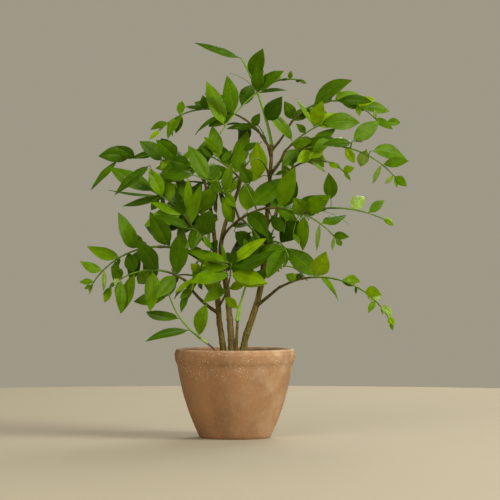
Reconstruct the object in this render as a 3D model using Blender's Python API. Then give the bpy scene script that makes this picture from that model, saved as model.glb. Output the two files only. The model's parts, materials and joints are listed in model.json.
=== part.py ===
"""A smilax in a squat terracotta pot, as named solids: pot, soil, stems, boughs and sprays of leaves.

Metres, +Z up. The origin is the middle of the pot's flat underside, -Y is the plant's front and +X its right.
A heading is an angle round the plant in degrees (0 right, 90 back, 180 left, 270 front), and a climb is an
angle above the horizontal. Every bough and twig leaves its parent in one direction and bends evenly into
another, and leaves stand along the twigs by one seeded rule, first on one side and then on the other.
"""

import math
import random
from dataclasses import dataclass, field

import bmesh
import bpy
import numpy as np
from mathutils.bvhtree import BVHTree

# Pot
POT_HEIGHT = 0.111
POT_BASE_RADIUS = 0.044
POT_RIM_RADIUS = 0.075
POT_WALL = 0.0065
POT_FLOOR = 0.009
POT_BULGE = 0.0238  # four times as far as the wall swells past a straight cone
RIM_BAND_HEIGHT = 0.019
RIM_BAND_PROUD = 0.0018
RIM_BAND_SLOPE = 0.002  # height in which the wall steps out to the band
RIM_ROUNDING = 0.003  # of the rim's outer edge
LIP_ROUNDING = 0.0021  # of its inner edge
LIP_SET_IN = 0.0006
INNER_WALL_TOP = 0.93  # of the pot's height, where the lip's rounding starts
OUTER_WALL_TOP = 0.9  # of the height of the band's foot
FOOT_ROUNDING = 0.0015
TURNED_STEPS = 36
WALL_POINTS = 6  # of the pot's section, up its inner and its outer wall
RIM_POINTS = 4
CORNER_POINTS = 3  # of the lip and of the foot
MERGE_DISTANCE = 0.00005  # of the points that a turned profile has on its axis

# Soil
SOIL_TOP = 0.097
SOIL_CROWN = 0.003  # the soil is higher round the stems than at the wall
SOIL_FLAT_RADIUS = 0.03
SOIL_SIDE_POINTS = 5

# Clearances
GAP = 0.0003  # between neighbouring solids
LEAF_CLEARANCE = 0.0006  # round a leaf, to everything that it isn't fused to

# Limbs
STEM_SIDES = 8
BOUGH_SIDES = 6
TWIG_SIDES = 3
STEM_STEP = 0.016  # between the rings of a stem
BOUGH_STEP = 0.011
TWIG_STEP = 0.020
FLARE_WIDTH = 1.28  # of a stem where it leaves the soil, against its plain radius
FLARE_HEIGHT = 0.010
TWIG_TIP_RADIUS = 0.0006
SEAT_ROOM = 1.02  # a limb's radius where another leaves it, against its plain radius
LEAST_LEAN = 0.3  # sine of the smallest angle to its parent that a leaving limb is worked out for
DIRECTION_STEP = 0.02  # part of a limb's length over which its direction is taken
SAME_DIRECTION = 1e-4  # angle in radians under which two directions count as one
FIRST_CORNER = (0.31, 0.95, 0.05)  # the side that a limb's first corner lies on

# Side twig of a spray, against the twig that it leaves
SIDE_TWIG_AT = 0.34  # of the way along
SIDE_TWIG_LENGTH = 0.5
SIDE_TWIG_TURNS = (38, 52)  # degrees that it turns away, least and most
SIDE_TWIG_END_TURN = 0.7  # part of that turn that is left at its tip
SIDE_TWIG_DROP = 12  # degrees that it starts lower
SIDE_TWIG_BIGGEST = 0.85
SIDE_TWIG_TURN_SEED = 31  # times the spray's seed
SIDE_TWIG_LEAF_SEED = 7

# Leaves
LEAF_TRIES = 8  # placings tried before a leaf that would touch something is skipped
FIRST_LEAF_AT = 0.14  # of the way along its twig
LAST_LEAF_AT = 0.93
LEAF_BOUNDS = (0.03, 0.99)  # that a leaf's shift keeps it within
LEAF_WIDTH = 0.44  # of its length
LEAF_THICKNESS = 0.014  # of its length, and a little for the rib
RIB_THICKNESS = 0.0002
LEAF_ARCH = 24.0  # degrees that a leaf bends down between its root and its tip
STALK_RADIUS = 0.0005
STALK_DEPTH = 0.00075
LEAF_ROOT_SINK = 0.3  # of the twig's radius
LARGE_LEAF = 0.028  # from here on a blade has two rings, and under it one
# Outlines of a blade: place along it, and part of its half width there
LARGE_OUTLINE = ((0.0, 0.0), (0.30, 0.97), (0.66, 0.70), (1.0, 0.0))
SMALL_OUTLINE = ((0.0, 0.0), (0.42, 1.0), (1.0, 0.0))
LEAF_LOOKS_UP = 30.0  # degrees that the blades' faces tilt up from level
TIP_LEAF_OPENING = 12.0  # degrees between the leaf at a twig's tip and the twig
SIZE_POWER = 1.6  # leaves get smaller with this power of their place along the twig

# What chance changes from leaf to leaf
SHIFT_SPREAD = 0.3  # of the room between two leaves, either way
SIZE_RANGE = (0.84, 1.08)
OPENING_SPREAD = 20.0  # degrees either way
SWING_SPREAD = 28.0  # degrees towards the blades' faces or away from them
HANG_RANGE = (0.4, 1.6)  # of the spray's droop
TWIST_SPREAD = 38.0
WIDTH_RANGE = (0.88, 1.12)

MATERIALS = {
    "terracotta": ((0.40, 0.17, 0.08), 0.85),
    "soil": ((0.035, 0.022, 0.014), 0.95),
    "bark": ((0.19, 0.12, 0.065), 0.75),
    "green_bark": ((0.12, 0.17, 0.03), 0.55),
    "foliage": ((0.10, 0.24, 0.015), 0.38),
}


@dataclass(frozen=True)
class Stem:
    """A stem that stands in the soil and rises through a few places."""

    name: str
    base_radius: float
    tip_radius: float
    places: tuple


@dataclass(frozen=True)
class Bend:
    """A bough or twig: where it leaves its parent, its two directions (heading, climb) and its length."""

    name: str
    parent: str
    at: float  # of the way along the parent
    start: tuple
    end: tuple
    length: float
    base_radius: float = 0.0016
    tip_radius: float = 0.0012


@dataclass(frozen=True)
class Spray(Bend):
    """A twig with its leaves. One whose parent is a spray is fused to it, as part of the same mass."""

    base_radius: float = 0.0012
    tip_radius: float = TWIG_TIP_RADIUS
    leaves: int = 9
    biggest: float = 0.046
    smallest: float = 0.024
    opening: float = 55.0  # degrees between a leaf and the twig
    faces: float = 270.0  # heading that the blades look towards
    droop: float = 0.25  # how strongly the leaves hang
    forked: bool = False  # with a side twig
    end_leaf: tuple = ()  # heading, climb and length of the leaf at the tip, where it stands out
    seed: int = 1


@dataclass
class Limb:
    """A limb worked out from its stem or bend: points along its axis and the radius at each."""

    name: str
    points: np.ndarray
    radii: np.ndarray
    mass: str = ""

    def reach(self):
        """How far along the limb each of its points is, from 0 to 1."""
        steps = np.linalg.norm(np.diff(self.points, axis=0), axis=1)
        return np.concatenate([[0.0], np.cumsum(steps)]) / steps.sum()

    def place(self, at):
        """The point this far along the limb's axis."""
        return np.array([np.interp(at, self.reach(), self.points[:, axis]) for axis in range(3)])

    def radius(self, at):
        """The limb's radius this far along it."""
        return float(np.interp(at, self.reach(), self.radii))

    def direction(self, at):
        """The way the limb runs this far along it."""
        before, after = max(0.0, at - DIRECTION_STEP), min(1.0, at + DIRECTION_STEP)
        return unit(self.place(after) - self.place(before))


@dataclass
class Mass:
    """One mass of foliage: its twigs and the outlines of its leaves."""

    name: str
    twigs: list = field(default_factory=list)
    leaves: list = field(default_factory=list)


STEMS = (
    Stem("left_stem", 0.0040, 0.0018, (
        (-0.013, -0.001, SOIL_TOP), (-0.017, 0.001, 0.128), (-0.020, 0.002, 0.149), (-0.022, 0.003, 0.184),
        (-0.024, 0.006, 0.228), (-0.028, 0.010, 0.269), (-0.033, 0.012, 0.297), (-0.038, 0.012, 0.320))),
    Stem("middle_stem", 0.0046, 0.0018, (
        (-0.004, 0.011, SOIL_TOP), (-0.005, 0.011, 0.128), (-0.010, 0.012, 0.182), (-0.015, 0.015, 0.212),
        (-0.018, 0.018, 0.238), (-0.012, 0.020, 0.268), (-0.001, 0.018, 0.296), (0.008, 0.016, 0.322))),
    Stem("thin_stem", 0.0022, 0.0017, (
        (0.001, -0.006, SOIL_TOP), (0.002, -0.006, 0.122), (0.003, -0.006, 0.146))),
    Stem("right_stem", 0.0044, 0.0020, (
        (0.009, 0.001, SOIL_TOP), (0.013, 0.000, 0.124), (0.024, 0.000, 0.157), (0.033, 0.001, 0.193),
        (0.038, 0.002, 0.249), (0.042, 0.003, 0.303), (0.045, 0.005, 0.344), (0.046, 0.005, 0.366))),
    Stem("low_shoot", 0.0015, 0.0014, (
        (-0.013, -0.015, SOIL_TOP), (-0.027, -0.018, 0.112), (-0.043, -0.024, 0.125))),
)

BOUGHS = (
    Bend("low_left_bough", "left_stem", 0.26, (213, 26), (214, 54), 0.065, 0.0022, 0.0014),
    Bend("left_arch_bough", "left_stem", 0.47, (208, 44), (193, 28), 0.052, 0.0018, 0.0013),
    Bend("left_mid_bough", "left_stem", 0.60, (228, 31), (186, 51), 0.048, 0.0018, 0.0013),
    Bend("cross_bough", "middle_stem", 0.66, (296, 42), (358, 15), 0.075, 0.0018, 0.0013),
    Bend("low_right_bough", "right_stem", 0.25, (334, 37), (349, 39), 0.040, 0.0024, 0.0016),
    Bend("right_bough", "right_stem", 0.72, (320, 49), (353, 64), 0.044, 0.0018, 0.0013),
    Bend("upper_right_bough", "right_stem", 0.86, (330, 42), (338, 68), 0.036, 0.0019, 0.0014),
    Bend("top_left_bough", "right_stem", 0.975, (156, 49), (166, 60), 0.030, 0.0018, 0.0013),
    Bend("top_right_bough", "right_stem", 0.975, (27, 42), (1, 60), 0.030, 0.0018, 0.0013),
)

SPRAYS = (
    Spray("low_shoot_spray", "low_shoot", 1.0, (200, 34), (224, 69), 0.072,
          leaves=5, biggest=0.058, smallest=0.028, opening=58, droop=0.5, seed=2150),
    Spray("low_left_spray", "low_left_bough", 1.0, (207, 33), (190, -49), 0.115,
          leaves=12, biggest=0.056, smallest=0.016, opening=66, droop=0.15, seed=4028),
    Spray("left_arch_spray", "left_arch_bough", 1.0, (197, 19), (195, -62), 0.144,
          leaves=11, biggest=0.056, smallest=0.013, opening=58, droop=0.15, seed=790),
    Spray("left_mid_spray", "left_mid_bough", 1.0, (203, 60), (192, 23), 0.064,
          leaves=10, biggest=0.050, smallest=0.044, opening=58, droop=0, seed=9906,
          end_leaf=(184, 1, 0.060)),
    Spray("upper_left_spray", "left_stem", 1.0, (167, 56), (175, -19), 0.100,
          leaves=10, biggest=0.046, smallest=0.042, opening=42, droop=0, seed=6827,
          end_leaf=(180, 0, 0.044)),
    Spray("left_light_spray", "cross_bough", 0.50, (234, 66), (192, 15), 0.085,
          leaves=8, biggest=0.046, smallest=0.042, opening=58, droop=0, seed=7111,
          end_leaf=(185, 5, 0.044)),
    Spray("middle_left_spray", "middle_stem", 1.0, (174, 50), (174, 21), 0.059,
          leaves=7, biggest=0.052, smallest=0.034, opening=50, droop=0, seed=6075),
    Spray("top_left_spray", "top_left_bough", 1.0, (173, 48), (192, -48), 0.140,
          leaves=11, biggest=0.046, smallest=0.017, opening=42, droop=0, seed=395),
    Spray("top_spray", "right_stem", 1.0, (190, 80), (191, 61), 0.115,
          base_radius=0.0016, tip_radius=0.0010, leaves=8, biggest=0.040, smallest=0.038, opening=42, droop=0.15,
          seed=3184, end_leaf=(178, 17, 0.064)),
    Spray("top_twiglet", "top_spray", 0.60, (350, 40), (356, -12), 0.060,
          leaves=4, biggest=0.018, smallest=0.016, opening=66, droop=0, seed=3289),
    Spray("top_right_spray", "top_right_bough", 1.0, (10, 64), (347, -48), 0.134,
          leaves=12, biggest=0.052, smallest=0.015, opening=42, droop=0.3, seed=5095),
    Spray("upper_right_spray", "upper_right_bough", 1.0, (351, 48), (340, 22), 0.059,
          leaves=8, biggest=0.056, smallest=0.040, opening=50, droop=0.5, seed=915),
    Spray("right_arch_spray", "upper_right_bough", 0.60, (332, 32), (344, -48), 0.166,
          leaves=14, biggest=0.046, smallest=0.018, opening=58, droop=0, seed=6808),
    Spray("right_spray", "right_bough", 1.0, (341, 50), (343, -54), 0.096,
          leaves=6, biggest=0.028, smallest=0.011, opening=58, droop=0, seed=6531),
    Spray("cross_spray", "cross_bough", 1.0, (346, 5), (339, -53), 0.110,
          leaves=15, biggest=0.050, smallest=0.018, opening=66, droop=0.15, seed=4971),
    Spray("cross_fork", "cross_spray", 0.42, (356, 17), (355, -25), 0.106,
          leaves=8, biggest=0.042, smallest=0.014, opening=58, droop=0, seed=3538),
    Spray("centre_right_spray", "right_stem", 0.48, (300, 52), (331, -34), 0.053,
          leaves=5, biggest=0.050, smallest=0.056, opening=58, droop=0.5, seed=7040),
    Spray("low_right_spray", "low_right_bough", 1.0, (348, 29), (349, -66), 0.169,
          leaves=14, biggest=0.036, smallest=0.014, opening=58, droop=0, seed=9359),
    Spray("front_spray", "left_stem", 0.29, (303, 40), (272, 57), 0.074,
          leaves=8, biggest=0.052, smallest=0.050, opening=58, droop=0.5, seed=9399),
    Spray("hanging_spray", "left_stem", 0.53, (211, 44), (316, -77), 0.059,
          leaves=5, biggest=0.032, smallest=0.024, opening=42, droop=0.5, seed=3150),
    Spray("centre_front_spray", "cross_bough", 0.54, (312, -30), (317, -49), 0.053,
          leaves=5, biggest=0.040, smallest=0.036, opening=55, droop=0.25, seed=21),
    Spray("centre_top_spray", "middle_stem", 0.93, (293, 78), (324, 34), 0.058,
          leaves=6, biggest=0.048, smallest=0.038, opening=50, droop=0.1, seed=34),
    Spray("inner_spray", "thin_stem", 1.0, (311, 78), (317, 48), 0.095,
          leaves=6, biggest=0.042, smallest=0.038, opening=52, droop=0.2, seed=41),
    Spray("centre_high_spray", "right_stem", 0.60, (240, 50), (212, 62), 0.066,
          leaves=7, biggest=0.050, smallest=0.040, opening=52, droop=0.2, seed=47),
    Spray("left_rear_spray", "left_stem", 0.74, (130, 45), (150, 0), 0.105,
          faces=110, forked=True, seed=52),
    Spray("rear_left_spray", "middle_stem", 0.85, (112, 40), (120, -15), 0.125,
          faces=160, forked=True, seed=57),
    Spray("rear_right_spray", "right_stem", 0.62, (62, 42), (52, -25), 0.130,
          faces=20, forked=True, seed=63),
    Spray("rear_spray", "middle_stem", 0.45, (78, 45), (88, -20), 0.130,
          faces=180, forked=True, seed=68),
    Spray("low_left_rear_spray", "left_stem", 0.38, (125, 35), (140, -25), 0.120,
          faces=180, forked=True, seed=74),
    Spray("low_right_rear_spray", "right_stem", 0.37, (60, 35), (62, -35), 0.130,
          faces=0, forked=True, seed=79),
    Spray("top_rear_spray", "right_stem", 0.93, (110, 60), (100, 0), 0.100,
          faces=90, forked=True, seed=83),
    Spray("upper_rear_spray", "right_stem", 0.80, (82, 50), (72, -10), 0.105,
          leaves=8, faces=10, seed=88),
    Spray("front_right_spray", "right_stem", 0.53, (292, 20), (282, -35), 0.100,
          leaves=8, faces=350, seed=91),
    Spray("front_left_spray", "left_stem", 0.70, (252, 25), (264, -30), 0.100,
          leaves=8, faces=200, seed=97),
    Spray("upper_front_spray", "right_stem", 0.83, (262, 50), (244, -20), 0.090,
          leaves=7, faces=300, seed=102),
)


def unit(vector):
    """The vector at length 1."""
    return vector / np.linalg.norm(vector)


def towards(heading, climb):
    """The direction with this heading and climb."""
    around, up = math.radians(heading), math.radians(climb)
    return np.array([math.cos(up) * math.cos(around), math.cos(up) * math.sin(around), math.sin(up)])


def across(vector, axis):
    """The part of a vector that is square to an axis, at length 1."""
    return unit(vector - axis * float(vector @ axis))


def turned_towards(first, second, share):
    """The direction a share of the way from one direction to another, along the great circle."""
    angle = math.acos(max(-1.0, min(1.0, float(first @ second))))
    if angle < SAME_DIRECTION:
        return first
    return (math.sin((1 - share) * angle) * first + math.sin(share * angle) * second) / math.sin(angle)


def smooth_route(places, step):
    """Points about a step apart on a smooth curve through the places."""
    held = np.array(places, float)
    held = np.vstack([2 * held[0] - held[1], held, 2 * held[-1] - held[-2]])
    route = []
    for before, here, there, after in zip(held, held[1:], held[2:], held[3:]):
        count = max(2, round(np.linalg.norm(there - here) / step))
        for share in np.arange(count) / count:
            route.append(0.5 * (2 * here + (there - before) * share
                                + (2 * before - 5 * here + 4 * there - after) * share ** 2
                                + (3 * here - before - 3 * there + after) * share ** 3))
    return np.array(route + [held[-2]])


def stem_limb(stem):
    """A stem that starts just above the soil, flares there and thins evenly upwards."""
    route = smooth_route(stem.places, STEM_STEP)
    route[:, 2] += GAP * np.linspace(1, 0, len(route))
    extra = route[0] + (route[1] - route[0]) * FLARE_HEIGHT / np.linalg.norm(route[1] - route[0])
    route = np.vstack([route[:1], extra[None], route[1:]])
    radii = np.linspace(stem.base_radius, stem.tip_radius, len(route))
    radii[0] *= FLARE_WIDTH
    return Limb(stem.name, route, radii)


def bend_limb(bend, parent, step, fused):
    """A limb that leaves its parent's surface in one direction and bends evenly into another."""
    first, last = towards(*bend.start), towards(*bend.end)
    count = max(3, round(bend.length / step))
    shares = (np.arange(count) + 0.5) / count
    steps = np.array([turned_towards(first, last, share) for share in shares]) * bend.length / count
    route = np.vstack([np.zeros(3), np.cumsum(steps, axis=0)]) + parent.place(bend.at)
    if not fused:
        route[0] = leaving_point(parent, bend.at, first)
    radii = np.linspace(bend.base_radius, bend.tip_radius, len(route))
    return Limb(bend.name, route, radii)


def leaving_plane(parent, at, direction):
    """A point just off the parent's surface, and the way that surface faces, where a limb leaves it."""
    middle = parent.place(at)
    along = parent.direction(at)
    if at >= 1.0:
        return middle + along * GAP, along
    outward = across(direction, along)
    return middle + outward * (parent.radius(at) * SEAT_ROOM + GAP), outward


def leaving_point(parent, at, direction):
    """Where a limb that leaves its parent in this direction meets the plane of the parent's surface."""
    point, outward = leaving_plane(parent, at, direction)
    away = float((point - parent.place(at)) @ outward) / max(LEAST_LEAN, float(direction @ outward))
    return parent.place(at) + direction * away


def ring(middle, along, reference, radius, sides):
    """The corners of a regular polygon square to a direction."""
    sideways = across(reference, along)
    other = np.cross(along, sideways)
    turns = 2 * math.pi * np.arange(sides) / sides
    return middle + radius * (np.cos(turns)[:, None] * sideways + np.sin(turns)[:, None] * other)


def tube_shape(limb, sides, plane=None, level=None):
    """Corners and faces of a limb with flat ends. The first end lies in the plane, or at the level."""
    points = limb.points
    alongs = np.gradient(points, axis=0)
    rows = []
    reference = np.array(FIRST_CORNER)
    for point, along, radius in zip(points, alongs, limb.radii):
        along = unit(along)
        rows.append(ring(point, along, reference, radius, sides))
        reference = across(reference, along)
    if plane is not None:
        point, outward = plane
        along = unit(points[1] - points[0])
        shift = ((point - rows[0]) @ outward) / float(along @ outward)
        rows[0] = rows[0] + shift[:, None] * along
    if level is not None:
        along = unit(points[1] - points[0])
        rows[0] = rows[0] + ((level - rows[0][:, 2]) / along[2])[:, None] * along
    faces = [tuple(reversed(range(sides)))]
    for row in range(len(rows) - 1):
        for side in range(sides):
            here, there = row * sides + side, row * sides + (side + 1) % sides
            faces.append((here, there, there + sides, here + sides))
    last = (len(rows) - 1) * sides
    faces.append(tuple(range(last, last + sides)))
    return np.vstack(rows), faces


@dataclass(frozen=True)
class Leaf:
    """One leaf: its root, the way it points, the way its upper face looks, its length and its width."""

    root: np.ndarray
    direction: np.ndarray
    face: np.ndarray
    length: float
    width: float

    def shape(self, grow=0.0, blade_only=False):
        """Corners and faces: a three-cornered stalk end, rings of edge, keel and edge, and the tip."""
        outline = LARGE_OUTLINE if self.length >= LARGE_LEAF else SMALL_OUTLINE
        sideways = np.cross(self.direction, self.face)
        keel = self.length * LEAF_THICKNESS + RIB_THICKNESS
        arch = math.radians(LEAF_ARCH)
        rows = []
        for along, wide in outline:
            bent = arch * along
            middle = self.root + self.direction * (math.sin(bent) / arch * self.length)
            middle = middle - self.face * ((1 - math.cos(bent)) / arch * self.length)
            upward = self.face * math.cos(bent) + self.direction * math.sin(bent)
            half = max(wide * self.width * self.length / 2, STALK_RADIUS) + grow
            deep = (STALK_DEPTH if along == 0.0 else keel) + grow
            if along == 1.0:
                rows.append(np.array([middle + self.direction * grow]))
                continue
            rows.append(np.array([
                middle - sideways * half + upward * grow, middle - upward * deep,
                middle + sideways * half + upward * grow]))
        if blade_only:
            rows = rows[1:]
        faces = [(2, 1, 0)]
        for row in range(len(rows) - 2):
            for side in range(3):
                here, there = 3 * row + side, 3 * row + (side + 1) % 3
                faces.append((here, there, there + 3, here + 3))
        last, tip = 3 * (len(rows) - 2), 3 * (len(rows) - 1)
        faces += [(last + side, last + (side + 1) % 3, tip) for side in range(3)]
        return np.vstack(rows), faces


def leaf_draws(spray, dice):
    """One random placing of a leaf: its shift along the twig, size, opening, swing, hang, twist and width."""
    return {
        "shift": dice.uniform(-SHIFT_SPREAD, SHIFT_SPREAD) / spray.leaves,
        "size": dice.uniform(*SIZE_RANGE),
        "opening": spray.opening + dice.uniform(-OPENING_SPREAD, OPENING_SPREAD),
        "swing": dice.uniform(-SWING_SPREAD, SWING_SPREAD),
        "hang": spray.droop * dice.uniform(*HANG_RANGE),
        "twist": dice.uniform(-TWIST_SPREAD, TWIST_SPREAD),
        "width": LEAF_WIDTH * dice.uniform(*WIDTH_RANGE),
    }


def placed_leaf(spray, limb, station, side, draws):
    """The leaf that stands at a station of a twig, on one side of it, as drawn."""
    tip = station >= 1.0
    at = 1.0 if tip else min(LEAF_BOUNDS[1], max(LEAF_BOUNDS[0], station + draws["shift"]))
    along = limb.direction(at)
    looks = across(towards(spray.faces, LEAF_LOOKS_UP), along)
    beside = np.cross(along, looks) * side
    opening = math.radians(TIP_LEAF_OPENING if tip else draws["opening"])
    swing = math.radians(draws["swing"])
    direction = along * math.cos(opening) + beside * math.sin(opening)
    direction = direction * math.cos(swing) + looks * math.sin(swing)
    direction = unit(direction + np.array([0.0, 0.0, -draws["hang"]]))
    length = spray.smallest + (spray.biggest - spray.smallest) * (1 - at ** SIZE_POWER)
    length *= draws["size"]
    if tip and spray.end_leaf:
        direction = towards(*spray.end_leaf[:2])
        length = spray.end_leaf[2]
    face = across(looks, direction)
    twist = math.radians(draws["twist"])
    face = face * math.cos(twist) + np.cross(direction, face) * math.sin(twist)
    root = limb.place(at) - direction * limb.radius(at) * LEAF_ROOT_SINK
    return Leaf(root, direction, face, length, draws["width"])


def tree_of(shape):
    """The shape as a tree that finds what it touches."""
    corners, faces = shape
    return BVHTree.FromPolygons([tuple(corner) for corner in corners], faces)


def side_twig(spray):
    """The side twig of a forked spray, on the side that its seed picks."""
    turn = random.Random(spray.seed * SIDE_TWIG_TURN_SEED).uniform(*SIDE_TWIG_TURNS)
    turn *= 1 if spray.seed % 2 else -1
    heading, climb = spray.start
    end_heading, end_climb = spray.end
    return Spray(
        spray.name + "_side", spray.name, SIDE_TWIG_AT, (heading + turn, climb - SIDE_TWIG_DROP),
        (end_heading + turn * SIDE_TWIG_END_TURN, end_climb), spray.length * SIDE_TWIG_LENGTH,
        leaves=spray.leaves // 2, biggest=spray.biggest * SIDE_TWIG_BIGGEST, smallest=spray.smallest,
        opening=spray.opening, faces=spray.faces, droop=spray.droop,
        seed=spray.seed * SIDE_TWIG_LEAF_SEED)


def grown_leaves(spray, limb, mass, taken, limbs_clear_of):
    """The leaves of one twig. One that would touch a limb or another leaf is drawn again, then skipped."""
    dice = random.Random(spray.seed)
    stations = list(np.linspace(FIRST_LEAF_AT, LAST_LEAF_AT, spray.leaves - 1)) + [1.0]
    side = 1 if dice.random() < 0.5 else -1
    for station in stations:
        side = -side
        for _ in range(LEAF_TRIES):
            leaf = placed_leaf(spray, limb, station, side, leaf_draws(spray, dice))
            whole = tree_of(leaf.shape(LEAF_CLEARANCE))
            blade = tree_of(leaf.shape(LEAF_CLEARANCE, blade_only=True))
            if any(whole.overlap(other) for other in limbs_clear_of):
                continue
            if any((blade if owner == mass.name else whole).overlap(other) for owner, other in taken):
                continue
            taken.append((mass.name, tree_of(leaf.shape())))
            mass.leaves.append(leaf)
            break


def mesh_object(name, shape, material):
    """A mesh object with these corners and faces, faces pointing out."""
    corners, faces = shape
    mesh = bpy.data.meshes.new(name)
    mesh.from_pydata([tuple(corner) for corner in corners], [], faces)
    work = bmesh.new()
    work.from_mesh(mesh)
    bmesh.ops.recalc_face_normals(work, faces=work.faces)
    work.to_mesh(mesh)
    work.free()
    mesh.materials.append(material)
    made = bpy.data.objects.new(name, mesh)
    bpy.context.scene.collection.objects.link(made)
    return made


def material_of(name):
    """A plain material with the part's colour and roughness."""
    colour, roughness = MATERIALS[name]
    material = bpy.data.materials.get(name) or bpy.data.materials.new(name)
    material.use_nodes = True
    surface = material.node_tree.nodes["Principled BSDF"]
    surface.inputs["Base Color"].default_value = (*colour, 1.0)
    surface.inputs["Roughness"].default_value = roughness
    surface.inputs["Metallic"].default_value = 0.0
    return material


def wall_radius(height):
    """The pot's outer radius at a height: a cone that swells a little halfway up."""
    share = height / POT_HEIGHT
    straight = POT_BASE_RADIUS + (POT_RIM_RADIUS - RIM_BAND_PROUD - POT_BASE_RADIUS) * share
    return straight + POT_BULGE * share * (1 - share)


def arc_points(middle, radius, first, last, count):
    """Points on a round corner of a turned profile, as (radius, height)."""
    turns = np.radians(np.linspace(first, last, count))
    return [(middle[0] + radius * math.cos(turn), middle[1] + radius * math.sin(turn)) for turn in turns]


def pot_profile():
    """The pot's section from the inside of its floor, over the rim and down the outside to the underside."""
    band_foot = POT_HEIGHT - RIM_BAND_HEIGHT
    inner_heights = np.linspace(POT_FLOOR, POT_HEIGHT * INNER_WALL_TOP, WALL_POINTS)
    inner = [(wall_radius(height) - POT_WALL, height) for height in inner_heights]
    lip_middle = (POT_RIM_RADIUS - POT_WALL - LIP_SET_IN, POT_HEIGHT - LIP_ROUNDING)
    lip = arc_points(lip_middle, LIP_ROUNDING, 180, 90, CORNER_POINTS)
    rim_middle = (POT_RIM_RADIUS - RIM_ROUNDING, POT_HEIGHT - RIM_ROUNDING)
    rim = arc_points(rim_middle, RIM_ROUNDING, 90, 0, RIM_POINTS)
    foot_radius = wall_radius(band_foot)
    band = [(foot_radius + RIM_BAND_PROUD, band_foot + RIM_BAND_SLOPE), (foot_radius, band_foot)]
    outer_heights = np.linspace(band_foot * OUTER_WALL_TOP, FOOT_ROUNDING * 2, WALL_POINTS)
    outer = [(wall_radius(height), height) for height in outer_heights]
    foot_middle = (POT_BASE_RADIUS - FOOT_ROUNDING, FOOT_ROUNDING)
    foot = arc_points(foot_middle, FOOT_ROUNDING, 0, -90, CORNER_POINTS)
    return [(0.0, POT_FLOOR)] + inner + lip + rim + band + outer + foot + [(0.0, 0.0)]


def soil_profile():
    """The soil's section: it fills the pot up to just under the rim, a hair clear of its wall."""
    heights = np.linspace(SOIL_TOP - SOIL_CROWN, POT_FLOOR + GAP, SOIL_SIDE_POINTS)
    side = [(wall_radius(height) - POT_WALL - 2 * GAP, height) for height in heights]
    return [(0.0, SOIL_TOP), (SOIL_FLAT_RADIUS, SOIL_TOP)] + side + [(0.0, POT_FLOOR + GAP)]


def turned_object(name, profile, material):
    """A solid turned round the Z axis from a section that runs down its outer side."""
    mesh = bpy.data.meshes.new(name)
    edges = [(number, number + 1) for number in range(len(profile) - 1)]
    mesh.from_pydata([(radius, 0.0, height) for radius, height in profile], edges, [])
    mesh.materials.append(material)
    made = bpy.data.objects.new(name, mesh)
    bpy.context.scene.collection.objects.link(made)
    screw = made.modifiers.new("Turned", "SCREW")
    screw.steps = screw.render_steps = TURNED_STEPS
    screw.use_merge_vertices = True
    screw.merge_threshold = MERGE_DISTANCE
    screw.use_smooth_shade = True
    return made


def fused(mass, twig_shapes, material):
    """The mass as one solid: its twigs and leaves joined by one union."""
    first = mesh_object(mass.name, twig_shapes[0], material)
    others = bpy.data.collections.new(mass.name + "_pieces")
    bpy.context.scene.collection.children.link(others)
    shapes = twig_shapes[1:] + [leaf.shape() for leaf in mass.leaves]
    for number, shape in enumerate(shapes):
        piece = mesh_object(f"{mass.name}_{number}", shape, material)
        bpy.context.scene.collection.objects.unlink(piece)
        others.objects.link(piece)
    union = first.modifiers.new("Union", "BOOLEAN")
    union.operation = "UNION"
    union.operand_type = "COLLECTION"
    union.collection = others
    union.solver = "EXACT"
    graph = bpy.context.evaluated_depsgraph_get()
    joined = bpy.data.meshes.new_from_object(first.evaluated_get(graph))
    first.modifiers.clear()
    keep_outer_shell(joined)
    first.data = joined
    for piece in list(others.objects):
        bpy.data.objects.remove(piece)
    bpy.data.collections.remove(others)
    return first


def keep_outer_shell(mesh):
    """Drops every loose shell but the largest: scraps, and the inner walls of hollows that fusing sealed."""
    work = bmesh.new()
    work.from_mesh(mesh)
    unseen, shells = set(work.verts), []
    while unseen:
        shell, edge_of_shell = set(), {unseen.pop()}
        while edge_of_shell:
            corner = edge_of_shell.pop()
            shell.add(corner)
            edge_of_shell |= {edge.other_vert(corner) for edge in corner.link_edges} - shell
        unseen -= shell
        shells.append(shell)
    shells.sort(key=len)
    loose = [corner for shell in shells[:-1] for corner in shell]
    bmesh.ops.delete(work, geom=loose, context="VERTS")
    work.to_mesh(mesh)
    work.free()


def clear_scene():
    """Starts from an empty scene."""
    for thing in list(bpy.data.objects):
        bpy.data.objects.remove(thing)


def grow_plant():
    """Every limb and mass, worked out but not yet made: limbs by name, their shapes, and the masses."""
    limbs, shapes, masses = {}, {}, {}
    for stem in STEMS:
        limb = stem_limb(stem)
        limbs[stem.name] = limb
        shapes[stem.name] = tube_shape(limb, STEM_SIDES, level=SOIL_TOP + GAP)
    for bough in BOUGHS:
        parent = limbs[bough.parent]
        limb = bend_limb(bough, parent, BOUGH_STEP, fused=False)
        limbs[bough.name] = limb
        plane = leaving_plane(parent, bough.at, towards(*bough.start))
        shapes[bough.name] = tube_shape(limb, BOUGH_SIDES, plane=plane)
    twigs = []
    for spray in SPRAYS:
        twigs += [spray, side_twig(spray)] if spray.forked else [spray]
    for twig in twigs:
        parent = limbs[twig.parent]
        owner = parent.mass or twig.name
        limb = bend_limb(twig, parent, TWIG_STEP, fused=bool(parent.mass))
        limb.mass = owner
        limbs[twig.name] = limb
        plane = None if parent.mass else leaving_plane(parent, twig.at, towards(*twig.start))
        shapes[twig.name] = tube_shape(limb, TWIG_SIDES, plane=plane)
        masses.setdefault(owner, Mass(owner)).twigs.append(twig)
    return limbs, shapes, masses


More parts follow.
